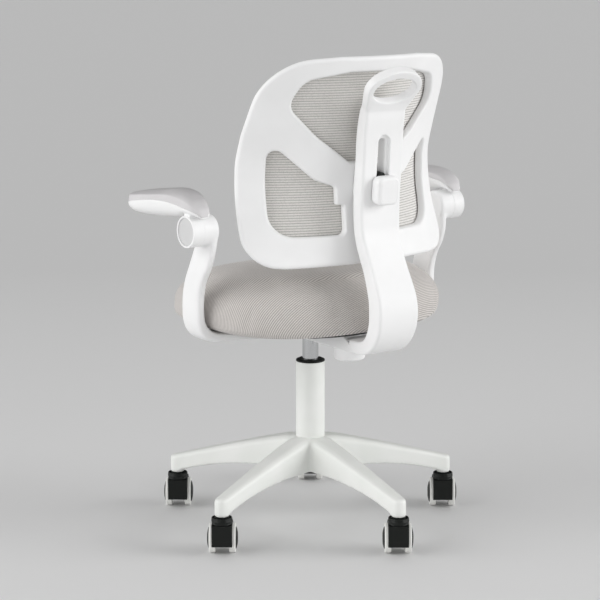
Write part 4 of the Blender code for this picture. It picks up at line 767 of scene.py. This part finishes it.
PAD = [
    (-0.201, 0.0226, 0.0395),
    (-0.192, 0.0256, 0.0428),
    (-0.175, 0.0295, 0.0465),
    (-0.15, 0.0335, 0.051),
    (-0.13, 0.0368, 0.0543),
    (-0.095, 0.041, 0.059),
    (-0.055, 0.042, 0.064),
    (-0.03, 0.0402, 0.064),
    (-0.012, 0.0382, 0.0618),
    (0.002, 0.0364, 0.0572),
    (0.01, 0.0348, 0.0518),
    (0.017, 0.0322, 0.0445),
    (0.0225, 0.0288, 0.037),
    (0.027, 0.024, 0.0275),
]
plan = np.array(through(PLAN, 8, 1))


def arm_plan(y):
    """The armrest's inner edge, outer edge and rise of its inner rim, y behind the hinge."""
    inner, outer, rise = (np.interp(y, plan[:, 0], plan[:, i]) for i in (1, 2, 3))
    nose = min(1, max(0, (ARM_NOSE - (y + ARM_FRONT)) / ARM_NOSE))
    half = max((outer - inner) / 2 * (1 - nose**2.2) ** (1 / 2.2), 0.008)
    return (inner + outer) / 2 - half, (inner + outer) / 2 + half, rise


rings = []
for y, bottom, top in through(SHELL, 6, 1):
    inner, outer, rise = arm_plan(y)
    row = []
    for across in 0.5 - np.cos(np.linspace(0, math.pi, 25)) / 2:
        rim = top + 0.0018 + rise * (1 - across)
        sag = (1 - abs(across * 2 - 1) ** 2.6) ** (1 / 2.6)
        x = inner - 0.0008 + (outer - inner + 0.0016) * across
        row.append(Vector((x, y, rim - (rim - bottom) * sag)))
    rings.append(row)
DISC_R, BARREL_R, BARREL_END = 0.023, 0.0261, -0.0213
barrel = placed(turned(drum(BARREL_R, BARREL_END - SPARE, SPARE)), ALONG_X)
neck = plate(oblong(-0.0213, -0.008, -0.0026, 0.01), 0.0125)
neck = placed(neck, shift((0, 0, 0.02425)))


def off_rim(place):
    """A share that keeps the barrel's round and its rim crisp."""
    return np.where((place[:, 0] > -0.003) & (np.hypot(place[:, 1], place[:, 2]) < 0.0275), 0.1, 1.0)


shell = skinned([loft(rings), barrel, neck], 0.0011, 9, off_rim)
PLATE = 0.02
for start, x in ((-0.0275, PLATE / 2), (-0.018, BARREL_END - PLATE / 2)):
    end_plate = plate(oblong(start, -0.03, 0.03, 0.03), PLATE)
    shell = cut(shell, placed(end_plate, shift((x, 0, 0)) @ ALONG_X))
shell = cut(shell, placed(turned(drum(DISC_R + 0.0002, -0.0026, 0.01)), ALONG_X))
rings = []
for y, bottom, top in through(PAD, 6, 1):
    inner, outer, rise = arm_plan(y)
    row = []
    for across in 0.5 - np.cos(np.linspace(0, math.pi, 25)) / 2:
        low = bottom + rise * (1 - across)
        edge = low + (top - low) * (0.52 + 0.2 * max(0, (-0.12 - y) / 0.08))
        lean = 0.985 - 0.03 * abs(across * 2 - 1)
        x = (inner + outer) / 2 + (across - 0.5) * (outer - inner) * lean
        row.append(Vector((x, y, edge + (top - edge) * (1 - abs(across * 2 - 1) ** 2.6))))
    for across in np.linspace(1, 0, 13):
        row.append(Vector((inner + (outer - inner) * across, y, bottom + rise * (1 - across))))
    rings.append(row)
pad = skinned([loft(rings)], 0.0011, 4)
disc = [(0, -0.0018, 0), (DISC_R - 0.0006, -0.0018, 0.0003), (DISC_R, -0.0021, 0)]
disc += [(DISC_R, -0.0025, 0), (0, -0.0025, 0)]
disc = placed(turned(disc), ALONG_X)
for side, turn in SIDES.items():
    at = turn @ shift(HINGE)
    piece(f"armrest_shell_{side}_moulding", placed(shell, at), WHITE_ABS, f"armrest_shell_{side}", sharp=60)
    cover = placed(pad, at)
    # The attribute upper marks the pad's upward-facing points, which the material paints darker as painted
    # shade.
    lie = np.array([n.vector.z for n in cover.vertex_normals])
    upper = cover.attributes.new("upper", "FLOAT", "POINT")
    upper.data.foreach_set("value", np.clip((lie - 0.45) / 0.35, 0, 1))
    soft = piece(f"armrest_pad_{side}_soft", cover, SOFT_PU, f"armrest_pad_{side}", sharp=60)
    piece(f"hinge_cap_{side}_disc", placed(disc, at), GREY_ABS, f"arm_hinge_cap_{side}")

# %% [markdown]
# The cushion is foam in a tight fabric cover: a rounded square, thick at the rear, waterfall front, sides
# bulging over a hidden pan. A cage of stacked rings gives the form, slightly small, and Blender's cloth
# simulation blows it up against its own stiffness, so the cover swells between its edges as a real one
# does. Points underneath are pinned and no point may move more than a few millimetres. The rib number for
# the weave is worked out on the final shape.

# %% Seat cushion
SEAT_HALF = (0.229, 0.19)
SEAT_Y, SEAT_LOW, SEAT_THICK = -0.011, 0.362, 0.099
SHRINK, OVAL = 0.0022, 2.6
LEVELS = [
    (0.5, 0.0, 0.8),
    (0.84, -0.01, 1.0),
    (0.965, 0.005, 1.0),
    (1.024, 0.15, 1.0),
    (1.024, 0.44, 0.6),
    (0.975, 0.76, 0.0),
    (0.8, 0.925, 0.0),
    (0.42, 1.015, 0.0),
]
rings = []
for scale, height, rise in LEVELS:
    row = []
    for x, y in squared_oval(SEAT_HALF[0] * scale, SEAT_HALF[1] * scale, OVAL, 20):
        back = y / SEAT_HALF[1]
        lift = rise * 0.009 * (x / SEAT_HALF[0]) ** 2 * (0.6 - back * 0.55)
        lift += height * (0.004 * back - 0.018 * max(0, -back) ** 2)
        row.append(Vector((x, y + SEAT_Y, SEAT_LOW + SEAT_THICK * height + lift)))
    rings.append(row)
obj = bench(loft(rings))
smooth = obj.modifiers.new("smooth", "SUBSURF")
smooth.levels = smooth.render_levels = 3
foam = skinned([applied(obj)], 0.005, 2)
foam.update()
for vert, normal in zip(foam.vertices, [n.vector.copy() for n in foam.vertex_normals]):
    vert.co -= normal * SHRINK


def swollen(mesh, pressure, frames, cap):
    """The mesh after a short cloth simulation with inner pressure, no point moved more than cap."""
    obj = bench(mesh)
    start = np.array([v.co for v in mesh.vertices])
    group = obj.vertex_groups.new(name="held")
    group.add([v.index for v in mesh.vertices if mesh.vertex_normals[v.index].vector.z < -0.5], 1, "REPLACE")
    cloth = obj.modifiers.new("cover", "CLOTH")
    cloth.settings.use_pressure = True
    cloth.settings.uniform_pressure_force = pressure
    cloth.settings.vertex_group_mass = "held"
    cloth.settings.effector_weights.gravity = 0
    cloth.settings.quality = 4
    for i in range(1, frames + 1):
        scene.frame_set(i)
    result = applied(obj)
    scene.frame_set(1)
    move = np.array([v.co for v in result.vertices]) - start
    far = np.linalg.norm(move, axis=1, keepdims=True)
    move *= np.minimum(1, cap / np.maximum(far, 1e-9))
    result.vertices.foreach_set("co", (start + move).ravel())
    result.update()
    print("cushion swelled by up to", round(float(np.minimum(far, cap).max()) * 1000, 1), "mm")
    return result


foam = swollen(foam, pressure=4, frames=20, cap=0.005)
relax(foam, 3)
obj = bench(foam)
fine = obj.modifiers.new("fine", "SUBSURF")
fine.levels = fine.render_levels = 1
cover = applied(obj)
PAN_HALF, PAN_ROOM, PAN_TOP = (0.148, 0.16), 0.002, 0.3687
places = np.array([v.co for v in cover.vertices])
normals = np.array([n.vector for n in cover.vertex_normals])
inside = (abs(places[:, 0]) / (PAN_HALF[0] + PAN_ROOM)) ** OVAL
inside += (abs(places[:, 1] - SEAT_Y) / (PAN_HALF[1] + PAN_ROOM)) ** OVAL
over_pan = (inside < 1) & (normals[:, 2] < 0)
places[:, 2] = np.where(over_pan, np.maximum(places[:, 2], PAN_TOP), places[:, 2])
cover.vertices.foreach_set("co", places.ravel())
drop = np.maximum(0, SEAT_LOW + SEAT_THICK * 0.93 - places[:, 2])
WALL_STRETCH, RIB_BIAS = 1.4, math.radians(20)
sideways, rearward = places[:, 0] / SEAT_HALF[0] ** 2, (places[:, 1] - SEAT_Y) / SEAT_HALF[1] ** 2
steep = np.maximum(np.hypot(sideways, rearward), 1e-6)
rib = cover.attributes.new("rib", "FLOAT", "POINT")
drop = drop * WALL_STRETCH / steep
across, along = places[:, 0] + sideways * drop, places[:, 1] + rearward * drop
rib.data.foreach_set("value", along * math.cos(RIB_BIAS) - across * math.sin(RIB_BIAS))
cover.update()
cushion = piece("seat_cushion_cover", cover, SEAT_CLOTH, "seat_cushion", sharp=60)

# %% [markdown]
# The back bar curls out from under the seat, rises behind the back and opens into a loop handle. Its
# section is a rounded rectangle that is thickest in the lower bend. The long slot for the height clamp is
# cut first, with a shallow wider recess round it on the rear face. Bar, loop and the flat tongue that
# slides in the housing share one skin.

# %% Back bar
SLOT_LEAN = math.radians(4.2)
SLOT_AXIS = Vector((0, math.sin(SLOT_LEAN), math.cos(SLOT_LEAN)))
SLOT_NORMAL = Vector((0, math.cos(SLOT_LEAN), -math.sin(SLOT_LEAN)))
SLOT_LOW, SLOT_HIGH, SLOT_WIDE, BAR_THICK, BAR_HALF = 0.598, 0.694, 0.014, 0.0245, 0.041


def slot_y(z):
    return 0.1848 + (z - SLOT_LOW) * math.tan(SLOT_LEAN)


def on_slot(z):
    """Carries a shape from XY to height z on the slot, its Y up the slot and its Z out of the rear."""
    turn = Matrix((Vector((-1, 0, 0)), SLOT_AXIS, SLOT_NORMAL)).transposed().to_4x4()
    return shift((0, slot_y(z), z)) @ turn


BAR = [
    (0.16, 0.3465, 0.0225, 0.038),
    (0.186, 0.3465, 0.0225, 0.038),
    (0.204, 0.352, 0.0255, 0.0385),
    (0.219, 0.3665, 0.029, 0.0395),
    (0.2285, 0.386, 0.0315, 0.0405),
    (0.2315, 0.408, 0.032, 0.041),
    (0.229, 0.43, 0.031, 0.0405),
    (0.221, 0.452, 0.0285, 0.0395),
    (0.2105, 0.475, 0.026, 0.0385),
    (0.199, 0.499, 0.0252, 0.0385),
    (0.1898, 0.521, 0.0248, 0.0392),
    (0.1852, 0.54, 0.0245, 0.04),
    (0.184, 0.56, 0.0245, 0.0406),
    (slot_y(0.585), 0.585, BAR_THICK, BAR_HALF),
    (slot_y(0.64), 0.64, BAR_THICK, BAR_HALF),
    (slot_y(0.708), 0.708, BAR_THICK, BAR_HALF),
    (0.1962, 0.727, 0.0235, 0.041),
    (0.1999, 0.7416, 0.0202, 0.0412),
    (0.2045, 0.7481, 0.0178, 0.0413),
    (0.2085, 0.7539, 0.016, 0.0413),
]
rows = through(BAR, 8, 2)
rings = []
for i, (y, z, thick, half) in enumerate(rows):
    before, after = rows[max(0, i - 1)], rows[min(len(rows) - 1, i + 1)]
    heading = Vector((0, after[0] - before[0], after[1] - before[1])).normalized()
    rearward = Vector((0, heading.z, -heading.y))
    h = thick / 2
    corners = [(half, -h, 0.005), (half, h, 0.005), (-half, h, 0.005), (-half, -h, 0.005)]
    rings.append([Vector((x, y, z)) + rearward * d for x, d in rounded(corners, 4)])
stem = loft(rings)
SEAM_LEAN = math.atan2(0.0247, -0.032)
keep = shift((0, 0.1590, 0.3470)) @ spun(SEAM_LEAN - math.pi / 2, 4, "X")
waste = plate(oblong(-0.06, -0.05, 0.06, 0.05), 0.06)
keep = keep @ spun(math.pi / 2, 4, "X") @ shift((0, 0, 0.030))
stem = cut(stem, placed(waste, keep))


def slot_tool(width, low, high, thickness, out):
    """A round-ended bar up the slot, its middle moved out of the rear face."""
    r, a, b = width / 2, low / SLOT_AXIS.z, high / SLOT_AXIS.z
    ends = [(r * math.cos(t), b - r + r * math.sin(t)) for t in np.linspace(0, math.pi, 13)]
    ends += [(r * math.cos(t), a + r + r * math.sin(t)) for t in np.linspace(math.pi, math.tau, 13)]
    return placed(plate(ends, thickness), on_slot(SLOT_LOW) @ shift((0, 0, out)))


SLOT_LONG = SLOT_HIGH - SLOT_LOW
STEP_WIDE, STEP_DEEP, STEP_TOOL = 0.0055, 0.006, 0.02
stem = cut(stem, slot_tool(SLOT_WIDE, 0, SLOT_LONG, 0.08, 0))
out = BAR_THICK / 2 + STEP_TOOL / 2 - STEP_DEEP
recess = slot_tool(SLOT_WIDE + STEP_WIDE * 2, -STEP_WIDE, SLOT_LONG + STEP_WIDE, STEP_TOOL, out)
stem = cut(stem, recess)
LOOP_PLACE, LOOP_LEAN, LOOP_THICK = (0, 0.2068, 0.7514), math.radians(35), 0.016
LOOP_HALF, LOOP_RISE, LOOP_MID = 0.053, 0.0375, 0.0315
GRIP_HALF, GRIP_RISE, GRIP_MID = 0.0415, 0.0245, 0.03
outer = [(0.0405, -0.012)]
for angle in np.radians(np.linspace(-10, 190, 61)):
    outer.append((LOOP_HALF * math.cos(angle), LOOP_MID + LOOP_RISE * math.sin(angle)))
outer.append((-0.0405, -0.012))
grip = []
for angle in np.linspace(0, math.tau, 64, endpoint=False):
    grip.append((GRIP_HALF * math.cos(angle), GRIP_MID + GRIP_RISE * math.sin(angle)))
lean = shift(LOOP_PLACE) @ spun(math.pi / 2 - LOOP_LEAN, 4, "X")
loop = placed(plate(outer, LOOP_THICK, (grip,)), lean)
TONGUE_Z, TONGUE_THICK, CLAMP_ROUND = 0.34735, 0.0135, 0.0044
ends = [(0.0045, 0.0725), (0.0045, 0.1165), (-0.0045, 0.1165), (-0.0045, 0.0725)]
clamp_slot = rounded([(x, y, CLAMP_ROUND) for x, y in ends], 8)
tongue = plate(oblong(-0.03, 0.058, 0.03, 0.18), TONGUE_THICK, (clamp_slot,))
tongue = placed(tongue, shift((0, 0, TONGUE_Z)))


def above_slot(place):
    """A share that is 1 on the loop and its neck, less on the bar and least round the slot."""
    loop_share = np.clip((place[:, 2] - 0.712) / 0.012, 0, 1)
    beside = np.where((abs(place[:, 0]) < 0.017) & (place[:, 2] > 0.58), 0.12, 0.45)
    return beside + (1 - beside) * loop_share


bar = skinned([stem, loop, tongue], 0.0011, 14, above_slot)
piece("back_bar_moulding", bar, WHITE_ABS, "back_bar", sharp=60)

# %% [markdown]
# The height knob is a soft square that clamps the back at any height along the slot. It is a stack of
# rounded squares, with a fine sunken line round its face.

# %% Height knob
KNOB_Z = 0.6105
rings = []
PROFILE = [(0.0035, 0), (0.0008, 0.0012), (0, 0.0035), (0, 0.0145), (0.0004, 0.0166), (0.0014, 0.0185)]
PROFILE += [(0.003, 0.0197), (0.0052, 0.0202), (0.0056, 0.0199), (0.0062, 0.0199), (0.0066, 0.0203)]
PROFILE += [(0.014, 0.0205)]
for inset, out in PROFILE:
    x, y, r = 0.022 - inset, 0.0235 - inset, max(0.011 - inset * 0.75, 0.003)
    square = rounded([(x, -y, r), (x, y, r), (-x, y, r), (-x, -y, r)], 8)
    rings.append([Vector((px, py, out)) for px, py in square])
knob_seat = on_slot(KNOB_Z) @ shift((0, 0, BAR_THICK / 2 + 0.0003))
piece("height_knob_moulding", placed(loft(rings), knob_seat), WHITE_ABS, "height_knob")

# %% [markdown]
# The back frame is a plate bent two ways, round the sitter and back above and below the waist, with one
# upper and two lower openings. A flat outline with its openings is filled, sliced into small cells and
# stacked in layers whose rim steps in towards the rear, and then every point is bent onto the curve. The
# common skin rounds what is left.

# %% Back frame
HALF_BACK = 0.203


def bow(z, waist, y, above, below):
    """A curve that leaves y at the waist and goes back by rise over span, to a power, above and below."""
    rise, span, power = above if z > waist else below
    return y + rise * (math.hypot(z - waist, 0.016) ** power - 0.016**power) / span**power


def back_y(x, z):
    centre = bow(z, 0.607, 0.157, (0.038, 0.17, 1.3), (0.011, 0.133, 1.3))
    edge = bow(z, 0.645, 0.0675, (0.051, 0.137, 1.15), (0.03, 0.123, 2.1))
    return centre + (edge - centre) * (x / HALF_BACK) ** 2


def on_back(x, z, depth):
    """The point depth in front of the frame's rear surface."""
    slope = (back_y(x + MM, z) - back_y(x - MM, z)) / (2 * MM)
    return Vector((x, back_y(x, z), z)) - Vector((-slope, 1, 0)).normalized() * depth


def both_sides(half):
    return half + [(-x, z, r) for x, z, r in reversed(half)]


def back_outline(inset):
    half = [
        (0.15 - inset, 0.4825 + inset, 0),
        (0.209 - inset, 0.4885 + inset, 0.046 - inset),
        (0.204 - inset, 0.615, 0),
        (0.2015 - inset, 0.7, 0),
        (0.1895 - inset, 0.82 - inset, 0.08 - inset),
        (0.08, 0.8275 - inset, 0),
    ]
    return rounded(both_sides(half), 14)


UPPER = [
    (0.036, 0.653, 0.012),
    (0.097, 0.697, 0.09),
    (0.1475, 0.748, 0.026),
    (0.13, 0.789, 0.03),
    (0.06, 0.8015, 0),
]
LOWER = [
    (0.044, 0.5325, 0.01),
    (0.1635, 0.5325, 0.036),
    (0.1635, 0.688, 0.011),
    (0.092, 0.623, 0.05),
    (0.0575, 0.612, 0.008),
    (0.0575, 0.582, 0.003),
    (0.044, 0.582, 0.003),
]
openings = [rounded(both_sides(UPPER), 10), rounded(LOWER, 8)]
openings.append([(-x, z) for x, z in openings[1]])


def drawn_in(flat, loops, rim):
    """Flat points moved off the edges into the material: by the whole rim there, and less further in."""
    starts, sides, shares = [], [], []
    for i, loop in enumerate(loops):
        line = np.array(loop)
        after = np.roll(line, -1, 0)
        turns = (line[:, 0] * after[:, 1] - after[:, 0] * line[:, 1]).sum()
        if (turns > 0) == (i > 0):
            line, after = after, line
        starts.append(line)
        sides.append(after - line)
        shares.append(np.full(len(line), 0.4 if i else 1.0))
    start, side, share = np.concatenate(starts), np.concatenate(sides), np.concatenate(shares)
    along = ((flat[:, None] - start) * side).sum(2) / (side**2).sum(1)
    foot = start + side * np.clip(along, 0, 1)[:, :, None]
    gap = np.linalg.norm(flat[:, None] - foot, axis=2)
    nearest = gap.argmin(1)
    way = side[nearest] / np.linalg.norm(side[nearest], axis=1, keepdims=True)
    inward = np.stack([-way[:, 1], way[:, 0]], 1)
    return flat + inward * np.maximum(0, rim * share[nearest] - gap.min(1) / 3)[:, None]


def bent_plate(loops, layers, cell):
    """A flat outline with openings, as layers (inset, depth) from rear to front, bent onto the back."""
    bm = bmesh.new()
    for loop in loops:
        verts = [bm.verts.new((x, 0, z)) for x, z in loop]
        for first, second in zip(verts, verts[1:] + verts[:1]):
            bm.edges.new((first, second))
    bmesh.ops.triangle_fill(bm, use_beauty=True, edges=bm.edges[:], normal=(0, 1, 0))
    for i in range(-40, 41):
        for spot, normal in (((i * cell, 0, 0), (1, 0, 0)), ((0, 0, 0.655 + i * cell), (0, 0, 1))):
            geom = bm.verts[:] + bm.edges[:] + bm.faces[:]
            bmesh.ops.bisect_plane(bm, geom=geom, plane_co=spot, plane_no=normal, dist=1e-6)
    bm.verts.index_update()
    flat = np.array([v.co.xz for v in bm.verts])
    faces = [[v.index for v in f.verts] for f in bm.faces]
    rim = [[v.index for v in e.verts] for e in bm.edges if e.is_boundary]
    bm.free()
    solid = bmesh.new()
    sheets = []
    for inset, depth in layers:
        spots = drawn_in(flat, loops, inset) if inset else flat
        sheets.append([solid.verts.new(on_back(x, z, depth)) for x, z in spots])
    for sheet in (sheets[0], sheets[-1]):
        for face in faces:
            solid.faces.new([sheet[i] for i in face])
    for rear, front in zip(sheets, sheets[1:]):
        for i, j in rim:
            solid.faces.new((rear[i], rear[j], front[j], front[i]))
    return mesh_from(solid)


RIM = [(0.006, 0), (0.003, 0.0015), (0.0008, 0.0045), (0, 0.008), (0.0006, 0.0125), (0.0025, 0.014)]
back = bent_plate([back_outline(0), *openings], RIM, 0.008)
piece("back_frame_moulding", skinned([back], 0.0014, 5), WHITE_ABS, "back_frame", sharp=60)

# %% [markdown]
# The mesh is stretched over the front of the frame. It is one thin closed sheet on the same bent surface,
# a little smaller than the frame.

# %% Back mesh
sheet = bent_plate([back_outline(0.009)], [(0.0008, 0.0152), (0, 0.016), (0.0012, 0.018)], 0.01)
mesh_sheet = piece("back_mesh_sheet", sheet, MESH_CLOTH, "back_mesh", sharp=60)

# %% [markdown]
# A carriage fills the gap between frame and bar, and rides up and down with the frame. Its rear face is
# cut a millimetre clear of the bar, so that it slides past the bar's neck without touching it.

# %% Carriage
CARRIAGE_GAP, CARRIAGE_Z = 0.0012, 0.622
carriage = skinned([copied("back_carriage")], 0.0012, 6)
spot = Vector((0, slot_y(CARRIAGE_Z), CARRIAGE_Z)) - SLOT_NORMAL * (BAR_THICK / 2 + CARRIAGE_GAP)
carriage = sliced(carriage, spot, SLOT_NORMAL)
piece("back_carriage_moulding", carriage, WHITE_ABS, "back_carriage", sharp=60)

# %% [markdown]
# Small parts that hardly show, such as pins, stems, axles and screws, keep the shape of their solids and
# only get their metal or plastic.

# %% Finishes for the solids that stay
KEPT = {"steel": ZINC_STEEL, "chrome": CHROME, "black_plastic": BLACK_PP, "white_plastic": WHITE_ABS}
kept = [name for name, node in nodes.items() if not node.hide_render]
for name in kept:
    data = nodes[name].data
    data.materials.clear()
    data.materials.append(KEPT[slots[name]])
print("kept solids:", ", ".join(sorted(kept)))

# %% [markdown]
# The studio is a wide sweep of grey paper with bright walls of light all round, as between tall soft
# boxes: the sky is bright near the horizon and dimmer overhead, so upright faces take more light than
# level ones. The floor's colour is painted paler towards the camera: painted light that brightens the
# floor in front and round the chair's feet. Two wide sun lamps stand low: a narrower one on the camera's
# right, which draws the soft shadows, and a broad one on its left. The camera sees a plain grey in place
# of the walls, and mirrors see it with dark flags between bright panels, which give the chrome its bands.

# %% Floor and light
FLOOR_FRONT, FLOOR_REAR, BACKDROP_COLOUR = "EAEAEA", "CECECE", "C0C0C0"
PAINTED_LIGHT_NEAR, PAINTED_LIGHT_FAR, FLOOR_HALF = -1.2, 2.5, 90
LOW_SKY, HIGH_SKY, HIGH_SKY_FROM = 0.95, 0.45, 0.5
FLAGS, FLAG_TURN, FLAG_LEVEL, PANEL_LEVEL = 2, 2.83, 0.1, 1.8
FLOOR_GREY, tree, shader = blank("matt_grey_studio_floor")
where = add(tree, "TexCoord").outputs["Object"]
dust = add(tree, "TexNoise", {"Vector": where, "Scale": 3.0})
tone = add(tree, "MapRange", {"Value": dust, "To Min": 0.93, "To Max": 0.97})
# Painted light: the floor's colour runs from FLOOR_FRONT near the camera to FLOOR_REAR far off, which
# brightens the floor in front and round the chair's feet.
depth = add(tree, "VectorMath", {0: where, 1: AWAY}, operation="DOT_PRODUCT").outputs["Value"]
depth = add(tree, "MapRange", {"Value": depth, "From Min": PAINTED_LIGHT_NEAR, "From Max": PAINTED_LIGHT_FAR})
painted_floor_light = add(tree, "ValToRGB", {"Fac": depth})
for stop, code in zip(painted_floor_light.color_ramp.elements, (FLOOR_FRONT, FLOOR_REAR)):
    stop.color = linear(code)
feed(tree, shader, {"Base Color": painted_floor_light, "Roughness": tone, "Specular IOR Level": 0.1})
bm = bmesh.new()
bmesh.ops.create_grid(bm, x_segments=4, y_segments=4, size=FLOOR_HALF)
ground = bpy.data.meshes.new("floor")
bm.to_mesh(ground)
bm.free()
ground.materials.append(FLOOR_GREY)
floor = bpy.data.objects.new("floor", ground)
scene.collection.objects.link(floor)
world = bpy.data.worlds.new("sky")
scene.world = world
world.use_nodes = True
tree = world.node_tree
walls = tree.nodes["Background"]
way = add(tree, "TexCoord").outputs["Generated"]
way = add(tree, "SeparateXYZ", {"Vector": way}).outputs
glow = {"Value": way["Z"], "From Max": HIGH_SKY_FROM, "To Min": LOW_SKY, "To Max": HIGH_SKY}
feed(tree, walls, {"Strength": add(tree, "MapRange", glow), "Color": linear("FFFFFF")})
turn = add(tree, "Math", {0: way["Y"], 1: way["X"]}, operation="ARCTAN2")
flags = add(tree, "Math", {0: turn, 1: FLAGS, 2: FLAG_TURN}, operation="MULTIPLY_ADD")
flags = add(tree, "Math", {0: flags}, operation="SINE")
flags = {"Value": flags, "From Min": -1.0, "To Min": FLAG_LEVEL, "To Max": PANEL_LEVEL}
flags = add(tree, "MapRange", flags)
ray = add(tree, "LightPath").outputs
strength = add(tree, "Mix", {0: ray["Is Glossy Ray"], 2: 1.0, 3: flags})
backdrop = add(tree, "Background", {"Color": linear(BACKDROP_COLOUR), "Strength": strength})
seen = add(tree, "Math", {0: ray["Is Camera Ray"], 1: ray["Is Glossy Ray"]}, operation="MAXIMUM")
seen = add(tree, "Math", {0: seen, 1: ray["Is Transmission Ray"]}, operation="MAXIMUM")
mixed = add(tree, "MixShader", {0: seen, 1: walls, 2: backdrop})
feed(tree, tree.nodes["World Output"], {"Surface": mixed})
LAMPS = {"right_lamp": (0.49, 0.988, 0.156, 0.29, 36), "left_lamp": (0.66, -0.90, 0.40, 0.17, 70)}
for name, (power, right, near, up, width) in LAMPS.items():
    lamp = bpy.data.objects.new(name, bpy.data.lights.new(name, "SUN"))
    lamp.data.energy = power * math.pi
    lamp.data.angle = math.radians(width)
    lamp.rotation_mode = "QUATERNION"
    lamp.rotation_quaternion = (AWAY * near - RIGHT * right - UP * up).to_track_quat("-Z", "Y")
    scene.collection.objects.link(lamp)
    print(name, "gives a facing white surface", power, "of full white")
